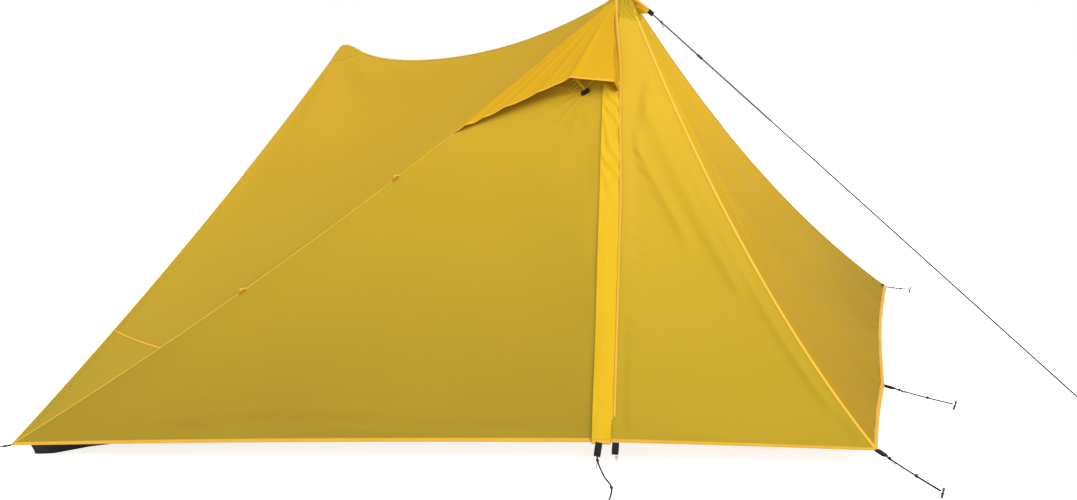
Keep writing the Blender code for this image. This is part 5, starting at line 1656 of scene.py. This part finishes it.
def cloth_settings():
    return bpy.context.scene.tent_cloth


def shared(name, make, *values):
    """A finish by name, made the first time that it is asked for."""
    return bpy.data.materials.get(name) or make(name, *values)


def tape(name, tint, edge):
    """Folded tape of a colour, and of a darker one in blotches."""
    return shared(name, stitched_finish, tint, tinted(tint, edge))


def hem_tape_painted_shade():
    """The hems' folded tape, painted a little duller than the seams' as painted shade, since it lies low."""
    return tape("hem_tape_painted_shade", tinted(cloth_settings().trim, 0.86, 0.82, 0.9), 0.88)


def webbing_material():
    return shared("black_webbing", webbing_finish)


def cord_material():
    return shared("braided_cord", cord_finish, grey(0.006), grey(0.035))


def plastic_material():
    return shared("black_plastic", moulded_finish, grey(0.006), 0.35)


def placed(right, back, place):
    """The matrix of something that looks against back, with its right side towards right."""
    rows = np.stack((right, np.cross(back, right), back), axis=1)
    return Matrix([[*rows[k], place[k]] for k in range(3)] + [[0.0, 0.0, 0.0, 1.0]])


class TENT_OT_studio(Operator):
    """Lay the floor, light the scene and place the camera at the photograph's angle"""
    bl_idname = "tent.studio"
    bl_label = "Studio"

    def execute(self, context):
        settings = context.scene.tent_studio
        context.scene.view_settings.view_transform = "Standard"
        self.add_floor(context, settings)
        world = bpy.data.worlds.new("studio_sky")
        world.use_nodes = True
        sky = world.node_tree.nodes["Background"]
        sky.inputs["Color"].default_value = (1.0, 1.0, 1.0, 1.0)
        sky.inputs["Strength"].default_value = settings.world
        context.scene.world = world
        self.add_key_light(context, settings)
        self.add_camera(context, settings)
        return {"FINISHED"}

    def add_floor(self, context, settings):
        """A white floor that also glows a little, so that shadows on it stay soft."""
        half = settings.grid / 2
        corners = [(-half, -half, 0), (half, -half, 0), (half, half, 0), (-half, half, 0)]
        mesh = bpy.data.meshes.new("studio_floor")
        mesh.from_pydata(corners, [], [(0, 1, 2, 3)])
        floor = bpy.data.objects.new("studio_floor", mesh)
        finish = Finish("studio_floor")
        speck = finish.noise(finish.object_place(), 3.0)
        finish.set(Base_Color=finish.mix(speck, grey(0.43), grey(0.47)), Roughness=0.9,
                   Emission_Color=(1.0, 1.0, 1.0, 1.0), Emission_Strength=settings.table)
        mesh.materials.append(finish.material)
        context.scene.collection.objects.link(floor)

    def add_key_light(self, context, settings):
        """One broad light from high in front, far enough to light the whole floor alike."""
        data = bpy.data.lights.new("key_light", "SUN")
        data.angle = settings.softness
        data.energy = settings.sun
        light = bpy.data.objects.new("key_light", data)
        back = unit(vec(*KEY_LIGHT_FROM))
        light.matrix_world = placed(unit(np.cross(UP, back)), back, 5.0 * back)
        context.scene.collection.objects.link(light)

    def add_camera(self, context, settings):
        yaw, pitch, roll = (math.radians(a) for a in (CAMERA_YAW, CAMERA_PITCH, CAMERA_ROLL))
        forward = vec(-math.sin(yaw) * math.cos(pitch), math.cos(yaw) * math.cos(pitch), -math.sin(pitch))
        level = vec(math.cos(yaw), math.sin(yaw))
        right = math.cos(roll) * level - math.sin(roll) * np.cross(level, forward)
        data = bpy.data.cameras.new("photo_camera")
        data.lens = settings.lens
        data.sensor_width = SENSOR_WIDTH
        data.dof.use_dof = False
        camera = bpy.data.objects.new("photo_camera", data)
        camera.matrix_world = placed(right, -forward, CAMERA_PLACE)
        context.scene.collection.objects.link(camera)
        context.scene.camera = camera


class TENT_OT_cords(Operator):
    """Lay the staked cords and the peak's guyline, with their knots and webbing"""
    bl_idname = "tent.cords"
    bl_label = "Cords"

    def execute(self, context):
        for name in CORD_STEPS:
            staked_cord(name, cord_material(), webbing_material())
        guyline(cord_material(), plastic_material())
        tab = on_front(ZIP_FOOT_X + SPARE_TAB_FROM_ZIP, HEM_RISE_AT_ZIP - 0.002, -0.001)
        down = unit(vec(-0.05, -0.40, -0.90))
        webbing_loop("front_flap_spare_loop", tab, down, 0.031, webbing_material(), 0.018)
        self.frayed_end(tab + vec(0.002, -0.0132, -0.030))
        return {"FINISHED"}

    def frayed_end(self, place):
        """A few short strands that leave the spare loop's cut edge."""
        t = steps(10)
        for k, (x, length) in enumerate(SPARE_STRANDS):
            path = place + times(x * (1.0 + 0.6 * t ** 2), ALONG) - times(length * t, UP)
            strand(f"front_spare_strand_{k}", path, 0.0006, cord_material())


class TENT_OT_fly(Operator):
    """Hang the ten cloth panels of the fly"""
    bl_idname = "tent.fly"
    bl_label = "Fly"

    # Painted light and shade: scales of the high and low colours for each kind of panel, giving lit and shaded
    # copies of one cloth (roof_cloth, door_cloth, side_cloth, end_cloth) for how light falls on and through
    # each face.
    PAINTED_LIGHT_TINTS = {"roof": ((1.13, 1.10, 1.5), (1.22, 1.2, 1.7)), "door": ((1.20, 1.20, 1.4), (0.98, 0.96, 1.3)),
             "side": ((1.38, 1.37, 1.7), (1.25, 1.22, 1.3)), "end": ((1.42, 1.35, 0.9), (1.08, 0.91, 1.0))}

    def execute(self, context):
        cloth = cloth_settings()
        finishes = {kind: cloth_finish(f"{kind}_cloth", tinted(cloth.high, *high), tinted(cloth.low, *low),
                                       tuple(cloth.glow))
                    for kind, (high, low) in self.PAINTED_LIGHT_TINTS.items()}
        finishes["gusset"] = finishes["door"]
        for node in PANELS:
            cloth_panel(node, finishes, cloth.thickness, cloth.folds)
        return {"FINISHED"}


class TENT_OT_seams(Operator):
    """Sew the seams, hems and reinforcement lines"""
    bl_idname = "tent.seams"
    bl_label = "Seams and hems"

    def execute(self, context):
        cloth = cloth_settings()
        panel = {node: PANELS[node][3] for node in PANELS}
        trim, hem = tape("trim_tape", tuple(cloth.trim), 0.88), hem_tape_painted_shade()
        plain = tape("felled_cloth", tuple(cloth.high), 0.9)
        fine = tape("fine_tape", tinted(cloth.trim, 0.98, 1.1, 1.4), 0.9)
        for node in ("fly_right_end", "fly_left_end"):
            binding(f"{node}_hem", panel[node], 1.7 * cloth.hem, hem, "tent")
        for side in SIDES:
            binding(f"{side}_side_hem", panel[f"{side}_side_panel"], cloth.hem, hem, "tent")
            door = binding(f"{side}_door_hem", panel[f"{side}_door"], cloth.hem, hem, None)
            blend_over_fold(door, side)
        roofs = {"front": panel["fly_front_roof"], "rear": panel["fly_rear_roof"]}
        ends = {"front": panel["fly_right_end"], "rear": panel["fly_left_end"]}
        for side in SIDES:
            gusset = panel[f"{side}_gusset"]
            seam_tape(f"{side}_door_hip_seam", (roofs[side], 0), (gusset, 2), FINE_SEAM, fine)
        seam_tape("ridge_seam", (roofs["front"], 1), (roofs["rear"], 1), PLAIN_SEAM, plain)
        for side in SIDES:
            own = panel[f"{side}_side_panel"]
            seam_tape(f"{side}_side_hip_seam", (own, 1), (ends[side], 2), TRIM_SEAM, trim)
        seam_tape("right_end_hip_seam", (ends["front"], 1), (roofs["rear"], 2), PLAIN_SEAM, plain)
        seam_tape("left_end_hip_seam", (ends["rear"], 1), (roofs["front"], 2), PLAIN_SEAM, plain)
        for side in SIDES:
            self.corner_line(side, roofs[side], hem)
        return {"FINISHED"}

    def corner_line(self, side, roof, finish):
        """The sewn line across the roof near its corner, where a second piece of cloth begins."""
        ends = np.array(((0.771, 0.229, 0.0), (0.746, 0.0, 0.254)))
        t = steps(120)[:, None]
        shares = ends[0] * (1.0 - t) + ends[1] * t
        line = roof.at(shares)
        line = line + times(cloth_settings().folds * fold_heights("roof", side, roof, shares, line), roof.out)
        across = unit(np.cross(roof.out, unit(line[-1] - line[0])))
        outline = [(-0.0040, -0.0004), (-0.0036, 0.0016), (0.0036, 0.0016), (0.0040, -0.0004)]
        rings = np.stack([line + a * across + b * roof.out for a, b in outline], axis=1)
        sweep(f"{side}_corner_line", rings, finish, "tent")


class TENT_OT_door_hardware(Operator):
    """Make the storm flaps, the zips with their sliders and the door ties"""
    bl_idname = "tent.door_hardware"
    bl_label = "Flaps, zips and ties"

    def execute(self, context):
        cloth = cloth_settings()
        # Painted shade: the flap's colour darkens a little towards the ground.
        low = tinted(cloth.bright, 0.93)
        flap = cloth_finish("flap_cloth", tuple(cloth.bright), low, tuple(cloth.glow), 0.1)
        tie = tape("tie_ribbon", tinted(cloth.trim, 1.0, 0.86, 1.0), 0.8)
        zip_tape = tape("zip_tape", tinted(cloth.high, 0.75), 0.85)
        for side in SIDES:
            storm_flap(side, flap, cloth.thickness)
            flap_head(side, flap, cloth.thickness)
            flap_edges(side, hem_tape_painted_shade())
            zip_track(side, zip_tape, plastic_material())
            zip_pull(side, plastic_material(), cord_material())
            for level in TIES_FROM_CORNER:
                door_tie(side, level, tie)
        return {"FINISHED"}


class TENT_OT_hoods(Operator):
    """Shape the vent hoods and dress their stays: the solid in sewn cloth, and a pad at its foot"""
    bl_idname = "tent.hoods"
    bl_label = "Vent hoods"

    def execute(self, context):
        cloth = cloth_settings()
        tint = tinted(cloth.bright, 1.23, 1.21, 1.30)
        hood = cloth_finish("hood_cloth", tint, tint, tuple(cloth.glow), 0.4)
        # Painted shade: the hem tape is darker than the hood, standing in for the dimming that the hood gets by
        # letting light through.
        edge = stitched_finish("hood_tape_painted_shade", tinted(tint, 0.88, 0.84, 1.0), tinted(tint, 0.8, 0.76, 0.9))
        # Painted shade: the stay's sleeve is the upper cloth darkened, standing in for the shade under the
        # hood.
        stay = tape("stay_cloth_painted_shade", tinted(cloth.high, 0.7), 1.0)
        for side in SIDES:
            vent_hood(side, hood, edge, cloth.thickness)
            hood_side(side, hood, cloth.thickness)
            paint([f"{side}_vent_strut"], stay)
            stay_pad(side, webbing_material())
        return {"FINISHED"}


class TENT_OT_peaks(Operator):
    """Sew the reinforcement and the webbing of the peaks"""
    bl_idname = "tent.peaks"
    bl_label = "Peaks"

    def execute(self, context):
        cloth = cloth_settings()
        glow = tuple(cloth.glow)
        patch = {"front": cloth_finish("peak_cloth", tuple(cloth.high), tuple(cloth.low), glow, 0.2),
                 "rear": bpy.data.materials["roof_cloth"]}
        # Painted light: the fin's colour is lifted well above the doubled cloth's to offset the shade it falls
        # in.
        tint = tinted(cloth.bright, 1.7, 1.95, 4.0)
        fin = cloth_finish("fin_cloth_painted_light", tint, tint, glow, 0.45)
        for side in SIDES:
            peak_cap(side, patch[side])
            peak_tab(side, fin, webbing_material())
        return {"FINISHED"}


class TENT_OT_floor(Operator):
    """Lay the bathtub floor and its straps"""
    bl_idname = "tent.floor"
    bl_label = "Bathtub floor"

    def execute(self, context):
        bathtub_floor(floor_finish("floor_cloth"))
        for side in SIDES:
            floor_strap(side, webbing_material())
        return {"FINISHED"}


class TENT_OT_poles(Operator):
    """Finish the trekking poles"""
    bl_idname = "tent.poles"
    bl_label = "Poles"

    def execute(self, context):
        metal = metal_finish("pole_metal", (0.035, 0.036, 0.040), 0.28, (400.0, 400.0, 6.0))
        foam = foam_finish("grip_foam")
        for side in SIDES:
            paint([f"{side}_pole_grip"], foam)
            paint([f"{side}_pole_upper", f"{side}_pole_lower"], metal)
            paint([f"{side}_pole_lever"], plastic_material())
        return {"FINISHED"}


class TENT_OT_stakes(Operator):
    """Finish the stakes and the webbing tabs that they hold"""
    bl_idname = "tent.stakes"
    bl_label = "Stakes and tabs"

    def execute(self, context):
        metal = metal_finish("stake_metal", (0.055, 0.056, 0.060), 0.32, (300.0, 300.0, 10.0))
        for name, (ground, lean_to) in stake_places().items():
            stake(name, ground, lean_to, metal, cord_material())
        for name, corner, level in tab_places():
            staked_tab(name, corner, level, webbing_material())
        return {"FINISHED"}


OPERATORS = (TENT_OT_studio, TENT_OT_cords, TENT_OT_fly, TENT_OT_seams, TENT_OT_door_hardware,
             TENT_OT_hoods, TENT_OT_peaks, TENT_OT_floor, TENT_OT_poles, TENT_OT_stakes)


class TENT_PT_looks(Panel):
    """The tent's pieces and the sizes and colours that they take"""
    bl_idname = "TENT_PT_looks"
    bl_label = "Tent"
    bl_space_type = "VIEW_3D"
    bl_region_type = "UI"
    bl_category = "Tent"

    def draw(self, context):
        for group in (context.scene.tent_cloth, context.scene.tent_studio):
            for name in group.bl_rna.properties.keys():
                if name not in ("rna_type", "name"):
                    self.layout.prop(group, name)
        for operator in OPERATORS:
            self.layout.operator(operator.bl_idname)


CLASSES = (TentCloth, TentStudio, *OPERATORS, TENT_PT_looks)


def register():
    for item in CLASSES:
        bpy.utils.register_class(item)
    bpy.types.Scene.tent_cloth = PointerProperty(type=TentCloth)
    bpy.types.Scene.tent_studio = PointerProperty(type=TentStudio)


def unregister():
    del bpy.types.Scene.tent_cloth
    del bpy.types.Scene.tent_studio
    for item in reversed(CLASSES):
        bpy.utils.unregister_class(item)


def main():
    register()
    for operator in OPERATORS:
        group, name = operator.bl_idname.split(".")
        getattr(getattr(bpy.ops, group), name)()


if __name__ == "__main__":
    main()
